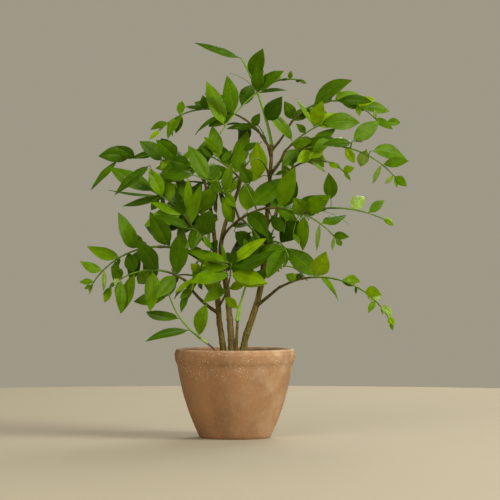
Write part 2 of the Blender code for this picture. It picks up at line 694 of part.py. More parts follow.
def main():
    """Makes the pot, the soil and every limb and mass."""
    clear_scene()
    pot = turned_object("pot", pot_profile(), material_of("terracotta"))
    soil = turned_object("potting_soil", soil_profile(), material_of("soil"))
    limbs, shapes, masses = grow_plant()
    graph = bpy.context.evaluated_depsgraph_get()
    fixed = [BVHTree.FromObject(made, graph) for made in (pot, soil)]
    trees = {name: tree_of(shape) for name, shape in shapes.items()}
    taken = []
    for mass in masses.values():
        clear_of = fixed + [tree for name, tree in trees.items() if limbs[name].mass != mass.name]
        for twig in mass.twigs:
            grown_leaves(twig, limbs[twig.name], mass, taken, clear_of)
    for stem in STEMS:
        bark = material_of("green_bark" if stem.name == "low_shoot" else "bark")
        made = mesh_object(stem.name, shapes[stem.name], bark)
        made.data.shade_smooth()
    for bough in BOUGHS:
        made = mesh_object(bough.name, shapes[bough.name], material_of("bark"))
        made.data.shade_smooth()
    for mass in masses.values():
        fused(mass, [shapes[twig.name] for twig in mass.twigs], material_of("foliage"))


main()
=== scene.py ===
"""The looks of a potted smilax: fired clay, potting soil, bark with its relief, and sprays of glossy leaves.

Metres, +Z up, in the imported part's frame: the origin is the middle of the pot's flat underside, -Y is the
plant's front and +X its right. A heading is an angle round the plant in degrees (0 right, 90 back, 180 left,
270 front), and a climb is an angle above the horizontal.
"""

import json
import logging
import math
import random
from dataclasses import dataclass, field
from enum import Enum

import bpy
import numpy as np
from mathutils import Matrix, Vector
from mathutils.bvhtree import BVHTree

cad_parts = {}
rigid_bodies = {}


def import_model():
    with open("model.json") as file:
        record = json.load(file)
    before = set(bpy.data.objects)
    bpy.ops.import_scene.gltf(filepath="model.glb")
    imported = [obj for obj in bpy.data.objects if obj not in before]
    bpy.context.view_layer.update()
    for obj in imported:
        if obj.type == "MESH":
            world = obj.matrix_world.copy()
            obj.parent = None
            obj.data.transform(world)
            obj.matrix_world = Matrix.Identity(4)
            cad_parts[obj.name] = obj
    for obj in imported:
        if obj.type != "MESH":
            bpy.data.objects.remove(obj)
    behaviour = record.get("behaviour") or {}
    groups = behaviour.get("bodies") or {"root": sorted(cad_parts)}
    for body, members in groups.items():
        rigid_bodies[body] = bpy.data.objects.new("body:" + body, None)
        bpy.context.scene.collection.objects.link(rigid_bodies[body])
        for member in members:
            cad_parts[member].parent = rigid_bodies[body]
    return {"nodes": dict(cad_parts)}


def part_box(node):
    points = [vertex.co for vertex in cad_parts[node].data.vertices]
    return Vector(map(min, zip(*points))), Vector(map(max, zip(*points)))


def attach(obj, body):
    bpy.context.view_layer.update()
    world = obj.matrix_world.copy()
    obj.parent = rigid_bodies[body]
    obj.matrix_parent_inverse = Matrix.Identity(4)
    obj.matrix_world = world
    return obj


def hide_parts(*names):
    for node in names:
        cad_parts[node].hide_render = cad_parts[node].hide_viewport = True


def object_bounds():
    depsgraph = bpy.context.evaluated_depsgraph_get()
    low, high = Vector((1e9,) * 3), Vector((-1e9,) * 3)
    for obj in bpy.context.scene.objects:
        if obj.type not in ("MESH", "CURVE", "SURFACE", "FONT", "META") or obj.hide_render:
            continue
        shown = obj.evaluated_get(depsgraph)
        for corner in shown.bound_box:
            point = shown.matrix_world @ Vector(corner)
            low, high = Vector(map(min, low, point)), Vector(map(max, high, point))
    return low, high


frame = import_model()
CAD_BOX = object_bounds()

Array = np.ndarray
Colour = tuple[float, float, float]
Angles = tuple[float, float]
Pixel = tuple[float, float]
Shape = tuple[Array, list[tuple[int, ...]]]

LOG = logging.getLogger("smilax")


# Shader building


class Amount:
    """A number that a shader works out. It wraps an output socket, and maths on it adds Math nodes."""

    def __init__(self, recipe: "Recipe", socket: bpy.types.NodeSocket) -> None:
        """Wraps one socket of the recipe's material."""
        self.recipe = recipe
        self.socket = socket

    def maths(self, operation: str, *values: "Amount | float") -> "Amount":
        """A Math node with this operation on these values."""
        made = self.recipe.node("ShaderNodeMath", dict(enumerate(values)), operation=operation)
        return Amount(self.recipe, made.outputs[0])

    def __add__(self, other: "Amount | float") -> "Amount":
        """The sum."""
        return self.maths("ADD", self, other)

    def __radd__(self, other: float) -> "Amount":
        """The sum."""
        return self.maths("ADD", other, self)

    def __sub__(self, other: "Amount | float") -> "Amount":
        """The difference."""
        return self.maths("SUBTRACT", self, other)

    def __mul__(self, other: "Amount | float") -> "Amount":
        """The product."""
        return self.maths("MULTIPLY", self, other)

    def __rmul__(self, other: float) -> "Amount":
        """The product."""
        return self.maths("MULTIPLY", other, self)

    def rising(self, low: float, high: float) -> "Amount":
        """0 up to low, 1 from high on, and a smooth rise between, or a fall where high is the lower."""
        sockets = {"Value": self, "From Min": low, "From Max": high, "To Min": 0.0, "To Max": 1.0}
        made = self.recipe.node("ShaderNodeMapRange", sockets, interpolation_type="SMOOTHSTEP")
        return Amount(self.recipe, made.outputs["Result"])

    def sine(self) -> "Amount":
        """The sine."""
        return self.maths("SINE", self)


class Recipe:
    """Builds the nodes of one material round its Principled shader."""

    def __init__(self, name: str, roughness: float, **constants: float) -> None:
        """Starts a material.

        Args:
            name: The material's name.
            roughness: The shader's roughness, until something else feeds it.
            constants: Numbers for other sockets of the shader, with _ for a blank in a socket's name.
        """
        self.material = bpy.data.materials.new(name)
        self.material.use_nodes = True
        self.tree = self.material.node_tree
        self.surface = self.tree.nodes["Principled BSDF"]
        self.surface.inputs["Roughness"].default_value = roughness
        for socket, value in constants.items():
            self.surface.inputs[socket.replace("_", " ")].default_value = value

    def feed(self, socket: bpy.types.NodeSocket, value: object) -> None:
        """Links or sets one socket."""
        if isinstance(value, (Amount, bpy.types.NodeSocket)):
            self.tree.links.new(value.socket if isinstance(value, Amount) else value, socket)
        elif socket.type == "RGBA":
            socket.default_value = (*value, 1.0)
        else:
            socket.default_value = value

    def node(self, kind: str, inputs: dict[str | int, object] | None = None,
             **settings: object) -> bpy.types.Node:
        """Adds a node.

        Args:
            kind: The node's type.
            inputs: Values or links for its sockets, by name or number.
            settings: Its properties, which are set first.

        Returns:
            The node.
        """
        made = self.tree.nodes.new(kind)
        for name, value in settings.items():
            setattr(made, name, value)
        for key, value in (inputs or {}).items():
            self.feed(made.inputs[key], value)
        return made

    def place(self, heights: float = 1.0) -> bpy.types.NodeSocket:
        """Object coordinates, with the heights multiplied."""
        spot = self.node("ShaderNodeTexCoord").outputs["Object"]
        return spot if heights == 1.0 else self.stretched(spot, (1.0, 1.0, heights))

    def stretched(self, place: bpy.types.NodeSocket, scale: Colour) -> bpy.types.NodeSocket:
        """A place with each of its three numbers multiplied."""
        return self.node("ShaderNodeMapping", {"Vector": place, "Scale": scale}).outputs["Vector"]

    def attribute(self, name: str) -> bpy.types.NodeSocket:
        """The vector that a piece keeps under this name."""
        return self.node("ShaderNodeAttribute", attribute_name=name).outputs["Vector"]

    def noise(self, place: bpy.types.NodeSocket, size: float, detail: float = 3.0,
              roughness: float = 0.55) -> Amount:
        """Smooth noise from 0 to 1 whose patches are about a size wide."""
        made = self.node("ShaderNodeTexNoise", {
            "Vector": place, "Scale": 1.0 / size, "Detail": detail, "Roughness": roughness})
        return Amount(self, made.outputs["Fac"])

    def spots(self, place: bpy.types.NodeSocket, spacing: float, radius: float) -> Amount:
        """1 within small round spots that lie a spacing apart, and 0 between them."""
        made = self.node("ShaderNodeTexVoronoi", {"Vector": place, "Scale": 1.0 / spacing})
        return Amount(self, made.outputs["Distance"]).rising(radius / spacing, 0.6 * radius / spacing)

    def parts(self, place: bpy.types.NodeSocket) -> tuple[Amount, Amount, Amount]:
        """The three numbers of a vector."""
        split = self.node("ShaderNodeSeparateXYZ", {"Vector": place})
        return tuple(Amount(self, split.outputs[axis]) for axis in range(3))

    def mixed(self, share: Amount, first: object, second: object) -> bpy.types.NodeSocket:
        """A colour that goes from the first to the second as the share goes from 0 to 1."""
        made = self.node("ShaderNodeMix", {0: share, 6: first, 7: second}, data_type="RGBA")
        return made.outputs[2]

    def relief(self, height: Amount, depth: float) -> None:
        """Feeds the shader's normal with bumps of this depth, from a height between 0 and 1."""
        bump = self.node("ShaderNodeBump", {"Height": height, "Distance": depth})
        self.feed(self.surface.inputs["Normal"], bump.outputs["Normal"])

    def colour(self, value: object) -> None:
        """Feeds the shader's base colour."""
        self.feed(self.surface.inputs["Base Color"], value)

    def rough(self, value: Amount) -> None:
        """Feeds the shader's roughness."""
        self.feed(self.surface.inputs["Roughness"], value)


# Finishes


@dataclass(frozen=True)
class ClayFinish:
    """Old fired clay: mottled, with a pale efflorescence of lime towards the rim and small flecks of it,
    painted light on its right side and painted shade on its left.
    """

    body: Colour = (0.335, 0.162, 0.059)
    # also the colour of the painted shade on the left side
    dark: Colour = (0.253, 0.122, 0.047)
    light: Colour = (0.41, 0.220, 0.098)
    # the pale lime efflorescence, and also the colour of the painted light on the right side
    bloom_and_painted_light: Colour = (0.58, 0.43, 0.27)
    lime: Colour = (0.78, 0.72, 0.60)
    # painted shade inside the pores
    painted_pore_shade: Colour = (0.07, 0.04, 0.025)
    rim_height: float = 0.111
    band_height: float = 0.022
    mottle_size: float = 0.030
    cluster_size: float = 0.017
    patch_size: float = 0.012
    speck_size: float = 0.0035
    fleck_size: float = 0.0020
    grain_size: float = 0.0011
    pore_spacing: float = 0.0125
    pore_radius: float = 0.00045
    bump_depth: float = 0.00035

    def under_rim(self, height: Amount, none: float, full: float) -> Amount:
        """0 up to the first number of band heights under the rim, and 1 from the second number on."""
        low, high = (self.rim_height - bands * self.band_height for bands in (none, full))
        return height.rising(low, high)

    def material(self) -> bpy.types.Material:
        """Colour from large and small mottles, then painted shade on the left side, lime efflorescence and
        flecks, both thicker on the rim's band, and painted light on the right side.
        """
        made = Recipe("terracotta", 0.86)
        place = made.place()
        side, _, height = made.parts(place)
        mottle = made.noise(made.place(0.55), self.mottle_size, 4.0)
        fine = made.noise(made.place(0.7), self.speck_size, 4.0, 0.7)
        tone = made.mixed(mottle.rising(0.30, 0.66), self.dark, self.body)
        tone = made.mixed(fine.rising(0.42, 0.72) * 0.45, tone, self.light)
        band = self.under_rim(height, 1.5, 0.4)
        # painted light: a mask that grows towards the right side, where the key light falls
        facing = side.rising(-0.05, 0.075)
        # painted shade: the left side is mixed towards the dark clay colour
        shade = side.rising(-0.030, -0.078) * 0.75
        tone = made.mixed(shade, tone, self.dark)
        patches = made.noise(place, self.patch_size, 5.0, 0.7).rising(0.44, 0.74)
        # lime efflorescence on the band, with more of it towards the right as painted light
        tone = made.mixed(patches * band * (0.20 + 0.45 * facing), tone, self.bloom_and_painted_light)
        # painted light: a pale wash over the right side
        painted_light_haze = (0.25 + 0.75 * made.noise(place, self.mottle_size, 3.0).rising(0.42, 0.75)) * facing * 0.52
        tone = made.mixed(painted_light_haze, tone, self.bloom_and_painted_light)
        worn = height.rising(self.rim_height - 0.0035, self.rim_height - 0.0005)
        tone = made.mixed(worn * (0.15 + 0.35 * patches), tone, self.bloom_and_painted_light)
        scattered = made.noise(place, self.cluster_size, 2.0).rising(0.44, 0.56)
        crumbs = made.noise(made.place(1.7), self.fleck_size, 2.0, 0.6).rising(0.635, 0.675)
        flecks = crumbs * scattered * (0.12 + 0.88 * self.under_rim(height, 2.0, 1.1))
        tone = made.mixed(flecks, tone, self.lime)
        # the pores are sunk in the relief and painted nearly black, as painted shade inside them
        pores = made.spots(place, self.pore_spacing, self.pore_radius)
        made.colour(made.mixed(pores * 0.8, tone, self.painted_pore_shade))
        made.rough(0.78 + 0.14 * patches)
        grain = made.noise(place, self.grain_size, 3.0, 0.65)
        made.relief(0.55 * grain + 0.45 * fine + flecks * 0.6 - pores * 0.6, self.bump_depth)
        return made.material


@dataclass(frozen=True)
class SoilFinish:
    """Damp potting soil, or one kind of bit in it."""

    name: str = "potting_soil"
    dark: Colour = (0.016, 0.010, 0.007)
    light: Colour = (0.060, 0.038, 0.024)
    clod_size: float = 0.004
    grain_size: float = 0.0014
    bump_depth: float = 0.0008

    def material(self) -> bpy.types.Material:
        """Dark crumbs with paler fibres, and a grain as fine as sand."""
        made = Recipe(self.name, 0.93)
        place = made.place()
        clods = made.noise(place, self.clod_size, 4.0, 0.7)
        made.colour(made.mixed(clods.rising(0.35, 0.7), self.dark, self.light))
        made.relief(made.noise(place, self.grain_size, 4.0, 0.7), self.bump_depth)
        return made.material


@dataclass(frozen=True)
class BarkFinish:
    """Bark whose streaks run along the limb, read from the grain that each piece of bark keeps."""

    name: str
    dark: Colour
    body: Colour
    pale: Colour
    roughness: float
    streaks: float = 0.8  # how much of the body the pale streaks cover
    depth: float = 0.00025
    gloss: float = 0.5
    rings: float = 0.0  # how dark the narrow rings of old leaf scars are

    def material(self) -> bpy.types.Material:
        """Dark furrows and pale streaks, long along the limb and narrow round it, and rings across it."""
        made = Recipe(self.name, self.roughness, Specular_IOR_Level=self.gloss)
        grain = made.attribute(GRAIN)
        furrow = made.noise(grain, 0.30, 4.0, 0.6)
        patch = made.noise(grain, 1.3, 3.0, 0.5)
        tone = made.mixed(furrow.rising(0.30, 0.52), self.dark, self.body)
        tone = made.mixed(patch.rising(0.42, 0.66) * self.streaks, tone, self.pale)
        if self.rings:
            ring = made.noise(made.stretched(grain, (0.10, 0.10, 1.0)), 0.42, 1.5, 0.5).rising(0.58, 0.68)
            tone = made.mixed(ring * self.rings, tone, self.dark)
        made.colour(tone)
        made.relief(furrow, self.depth)
        return made.material


@dataclass(frozen=True)
class LeafFinish:
    """One side of a leaf at one age: a waxy skin over green that lets some light through.

    The veins run from the leaf's root to its tip, side by side, so that they are lines of one place across
    the blade, which the piece's UV map gives from 0 to 1. It also gives how wide the blade is there, and the
    veins are as low as it is narrow.
    """

    name: str
    body: Colour
    glow: Colour  # of the light that comes through
    roughness: float = 0.42
    gloss: float = 0.14
    sheen: Colour = (1.0, 1.0, 0.45)  # tints the gloss, as a leaf's wax does
    through: float = 0.30
    veins: int = 9
    vein_depth: float = 0.00005
    mottle_size: float = 0.009

    def material(self) -> bpy.types.Material:
        """A mottled green with fine ridges along the veins, mixed with the light from behind."""
        made = Recipe(self.name, self.roughness, Specular_IOR_Level=self.gloss)
        made.feed(made.surface.inputs["Specular Tint"], self.sheen)
        mottle = made.noise(made.place(), self.mottle_size, 3.0).rising(0.30, 0.72)
        deeper = tuple(part * 0.80 for part in self.body)
        brighter = tuple(min(1.0, part * 1.14) for part in self.body)
        made.colour(made.mixed(mottle, deeper, brighter))
        across, wide, _ = made.parts(made.node("ShaderNodeUVMap", uv_map=BLADE_MAP).outputs["UV"])
        ridges = (across * (2 * math.pi * self.veins)).sine() * 0.5 + 0.5
        made.relief(ridges * wide, self.vein_depth)
        glow = made.node("ShaderNodeBsdfTranslucent", {"Color": self.glow})
        both = made.node("ShaderNodeMixShader", {
            0: self.through, 1: made.surface.outputs["BSDF"], 2: glow.outputs["BSDF"]})
        made.feed(made.tree.nodes["Material Output"].inputs["Surface"], both.outputs["Shader"])
        return made.material


@dataclass(frozen=True)
class PlainFinish:
    """A matt surface for the floor that the plant stands on."""

    name: str
    body: Colour
    roughness: float

    def material(self) -> bpy.types.Material:
        """A colour with a faint cloudiness."""
        made = Recipe(self.name, self.roughness)
        cloud = made.noise(made.place(), 0.25, 2.0)
        made.colour(made.mixed(cloud, self.body, tuple(part * 0.96 for part in self.body)))
        return made.material


GRAIN = "grain"
BLADE_MAP = "blade"
BARK = BarkFinish(
    "bark", (0.040, 0.025, 0.006), (0.138, 0.100, 0.019), (0.25, 0.195, 0.052),
    roughness=0.88, streaks=0.65, gloss=0.1, rings=0.75)
# painted light: a lighter copy of the bark, for the middle stem that the leaves shade
PAINTED_LIGHT_BARK = BarkFinish(
    "painted_light_bark", (0.060, 0.040, 0.013), (0.215, 0.160, 0.046), (0.34, 0.275, 0.10),
    roughness=0.88, streaks=0.65, gloss=0.1, rings=0.75)
BOUGH_BARK = BarkFinish(
    "bough_bark", (0.026, 0.018, 0.005), (0.092, 0.070, 0.017), (0.19, 0.155, 0.045),
    roughness=0.80, streaks=0.6, depth=0.00015, gloss=0.1, rings=0.4)
TWIG_BARK = BarkFinish(
    "twig_bark", (0.024, 0.024, 0.004), (0.080, 0.076, 0.010), (0.13, 0.115, 0.024),
    roughness=0.70, streaks=0.6, depth=0.00010, gloss=0.2)
GREEN_BARK = BarkFinish(
    "green_bark", (0.036, 0.074, 0.002), (0.080, 0.155, 0.004), (0.15, 0.26, 0.01),
    roughness=0.60, streaks=0.7, depth=0.00005, gloss=0.2)
FRESH_BARK = BarkFinish(
    "fresh_bark", (0.065, 0.145, 0.004), (0.135, 0.270, 0.010), (0.24, 0.39, 0.04),
    roughness=0.55, streaks=0.7, depth=0.00005, gloss=0.2)
SHEATH = BarkFinish(
    "sheath", (0.15, 0.31, 0.02), (0.25, 0.45, 0.035), (0.42, 0.60, 0.13),
    roughness=0.50, streaks=0.7, depth=0.00005, gloss=0.25)
OLD_SHOOT = BarkFinish(
    "old_shoot", (0.022, 0.013, 0.010), (0.060, 0.034, 0.026), (0.22, 0.19, 0.15),
    roughness=0.65, streaks=0.5, depth=0.00008)


# Meshes

WAVE_COUNT = 14


@dataclass
class Shell:
    """Closed surfaces that become one piece: corners, faces of three or four corners, and a look for each.

    A face of three corners repeats its last one.
    """

    corners: Array
    faces: Array
    looks: Array
    extra: Array | None = None  # what each corner keeps besides its place: its grain or its place on a blade

    @staticmethod
    def joined(shells: list["Shell"]) -> "Shell":
        """All the shells as one, in order."""
        starts = np.cumsum([0] + [len(shell.corners) for shell in shells[:-1]])
        extras = [shell.extra for shell in shells]
        return Shell(
            np.vstack([shell.corners for shell in shells]),
            np.vstack([shell.faces + start for shell, start in zip(shells, starts)]),
            np.concatenate([shell.looks for shell in shells]),
            None if extras[0] is None else np.vstack(extras))

    def piece(self, name: str, finishes: list[bpy.types.Material], smooth: bool = True,
              edge: float = 180.0) -> bpy.types.Object:
        """Makes the piece.

        Args:
            name: The object's name.
            finishes: Its materials, in the order that the looks number them.
            smooth: Whether it is shaded smooth.
            edge: The angle in degrees past which two faces meet in a crisp edge all the same.

        Returns:
            The object, with its place in its mesh.
        """
        threes = self.faces[:, 2] == self.faces[:, 3]
        sizes = np.where(threes, 3, 4)
        kept = np.ones(self.faces.shape, bool)
        kept[threes, 3] = False
        mesh = bpy.data.meshes.new(name)
        mesh.vertices.add(len(self.corners))
        mesh.vertices.foreach_set("co", self.corners.astype(np.float32).ravel())
        mesh.loops.add(int(sizes.sum()))
        loop_corners = self.faces[kept].astype(np.int32)
        mesh.loops.foreach_set("vertex_index", loop_corners)
        mesh.polygons.add(len(sizes))
        mesh.polygons.foreach_set("loop_start", np.concatenate([[0], np.cumsum(sizes)[:-1]]).astype(np.int32))
        mesh.polygons.foreach_set("material_index", self.looks.astype(np.int32))
        mesh.polygons.foreach_set("use_smooth", np.full(len(sizes), smooth))
        for finish in finishes:
            mesh.materials.append(finish)
        mesh.update(calc_edges=True)
        if self.extra is not None and self.extra.shape[1] == 3:
            grain = mesh.attributes.new(GRAIN, "FLOAT_VECTOR", "POINT")
            grain.data.foreach_set("vector", self.extra.astype(np.float32).ravel())
        elif self.extra is not None:
            chart = mesh.uv_layers.new(name=BLADE_MAP)
            chart.data.foreach_set("uv", self.extra[loop_corners].astype(np.float32).ravel())
        mesh.validate()
        if edge < 180.0:
            mesh.set_sharp_from_angle(angle=math.radians(edge))
        made = bpy.data.objects.new(name, mesh)
        bpy.context.scene.collection.objects.link(made)
        return made


def grid_faces(rows: int, columns: int, caps: bool = True) -> Array:
    """The faces between rings of corners.

    Args:
        rows: How many rings there are, each with its corners in one turning direction.
        columns: How many corners a ring has.
        caps: Whether a first and a last single corner, numbered after the rings, close the ends.

    Returns:
        The faces, each a row of four corner numbers.
    """
    row, column = np.meshgrid(np.arange(rows - 1), np.arange(columns), indexing="ij")
    here, beside = row * columns + column, row * columns + (column + 1) % columns
    sides = np.stack([here, beside, beside + columns, here + columns], axis=-1).reshape(-1, 4)
    if not caps:
        return sides
    around = np.arange(columns)
    after = (around + 1) % columns
    foot, tip = np.full(columns, rows * columns), np.full(columns, rows * columns + 1)
    last = (rows - 1) * columns
    first_cap = np.stack([after, around, foot, foot], axis=-1)
    last_cap = np.stack([last + around, last + after, tip, tip], axis=-1)
    return np.vstack([sides, first_cap, last_cap])


def waves(places: Array, size: float, seed: int) -> Array:
    """Smooth bumps in space: the sum of sines that run in seeded directions, each about a size long.

    Args:
        places: Points, in the last axis.
        size: How long a bump is, in the points' units.
        seed: Picks the directions, lengths and phases.

    Returns:
        One height for each point, mostly between -1 and 1.
    """
    dice = np.random.default_rng(seed)
    ways = dice.normal(size=(WAVE_COUNT, 3))
    ways *= (2 * np.pi / size * dice.uniform(0.6, 1.5, WAVE_COUNT) / np.linalg.norm(ways, axis=1))[:, None]
    phases = dice.uniform(0, 2 * np.pi, WAVE_COUNT)
    return np.sin(places @ ways.T + phases).sum(axis=-1) / math.sqrt(WAVE_COUNT)


def smooth_step(values: Array, low: float, high: float) -> Array:
    """0 up to low, 1 from high on, and a cubic rise between."""
    share = np.clip((values - low) / (high - low), 0.0, 1.0)
    return share * share * (3 - 2 * share)


def turned(profile: Array, columns: int) -> Shell:
    """A closed surface turned round the Z axis.

    Each corner is the profile's radius times the cosine and sine of its angle, at the profile's height. The
    profile's two ends lie on the axis and become single corners.

    Args:
        profile: Radius and height in each row, from the middle of the underside round to the middle on top.
        columns: How many corners one ring has.

    Returns:
        The shell.
    """
    turns = 2 * np.pi * np.arange(columns) / columns
    rings = profile[1:-1]
    corners = np.stack([
        rings[:, :1] * np.cos(turns), rings[:, :1] * np.sin(turns),
        np.repeat(rings[:, 1:], columns, axis=1)], axis=-1).reshape(-1, 3)
    poles = np.array([[0.0, 0.0, profile[0, 1]], [0.0, 0.0, profile[-1, 1]]])
    faces = grid_faces(len(rings), columns)
    return Shell(np.vstack([corners, poles]), faces, np.zeros(len(faces), int))


# How the photograph shows the plant


class Tone(Enum):
    """How a spray's leaves look: their age and how much light they catch."""

    DEEP = 0
    MATURE = 1
    FRESH = 2
    BRIGHT = 3
    YOUNG = 4


DEEP, MATURE, FRESH, BRIGHT, YOUNG = Tone


@dataclass(frozen=True)
class View:
    """The level camera of the photograph, whose pixels count right and down from its top left corner."""

    place: tuple[float, float, float] = (0.01875, -3.290, 0.23425)
    reach: float = 2632.0  # focal length in pixels
    width: float = 500.0  # of the photograph in pixels

    def pixels(self, points: Array) -> Array:
        """Where points show: half the width, plus the reach times how far aside over how far away."""
        away = points - np.array(self.place)
        return self.width / 2 + self.reach * np.stack([away[..., 0], -away[..., 2]], axis=-1) / away[..., 1:2]

    def scale(self, depth: float) -> float:
        """How large a pixel is at a depth, which is a point's Y."""
        return (depth - self.place[1]) / self.reach

    def spot(self, pixel: Pixel, depth: float) -> Array:
        """The point at a depth that shows at a pixel."""
        right, down = (self.scale(depth) * (number - self.width / 2) for number in pixel)
        return np.array([self.place[0] + right, depth, self.place[2] - down])


VIEW = View()


@dataclass(frozen=True)
class Seen:
    """A leaf that shows in the photograph, in its pixels: where it starts and ends and how wide it looks."""

    root: Pixel
    tip: Pixel
    width: float
    tone: Tone
    bow: float = 0.05  # how far its outline bulges upwards from the straight line, against its length
    lean: float | None = None  # degrees that it leans away from the viewer, where chance doesn't pick that
    before: float = 0.0  # metres that it starts nearer to the viewer than its limb


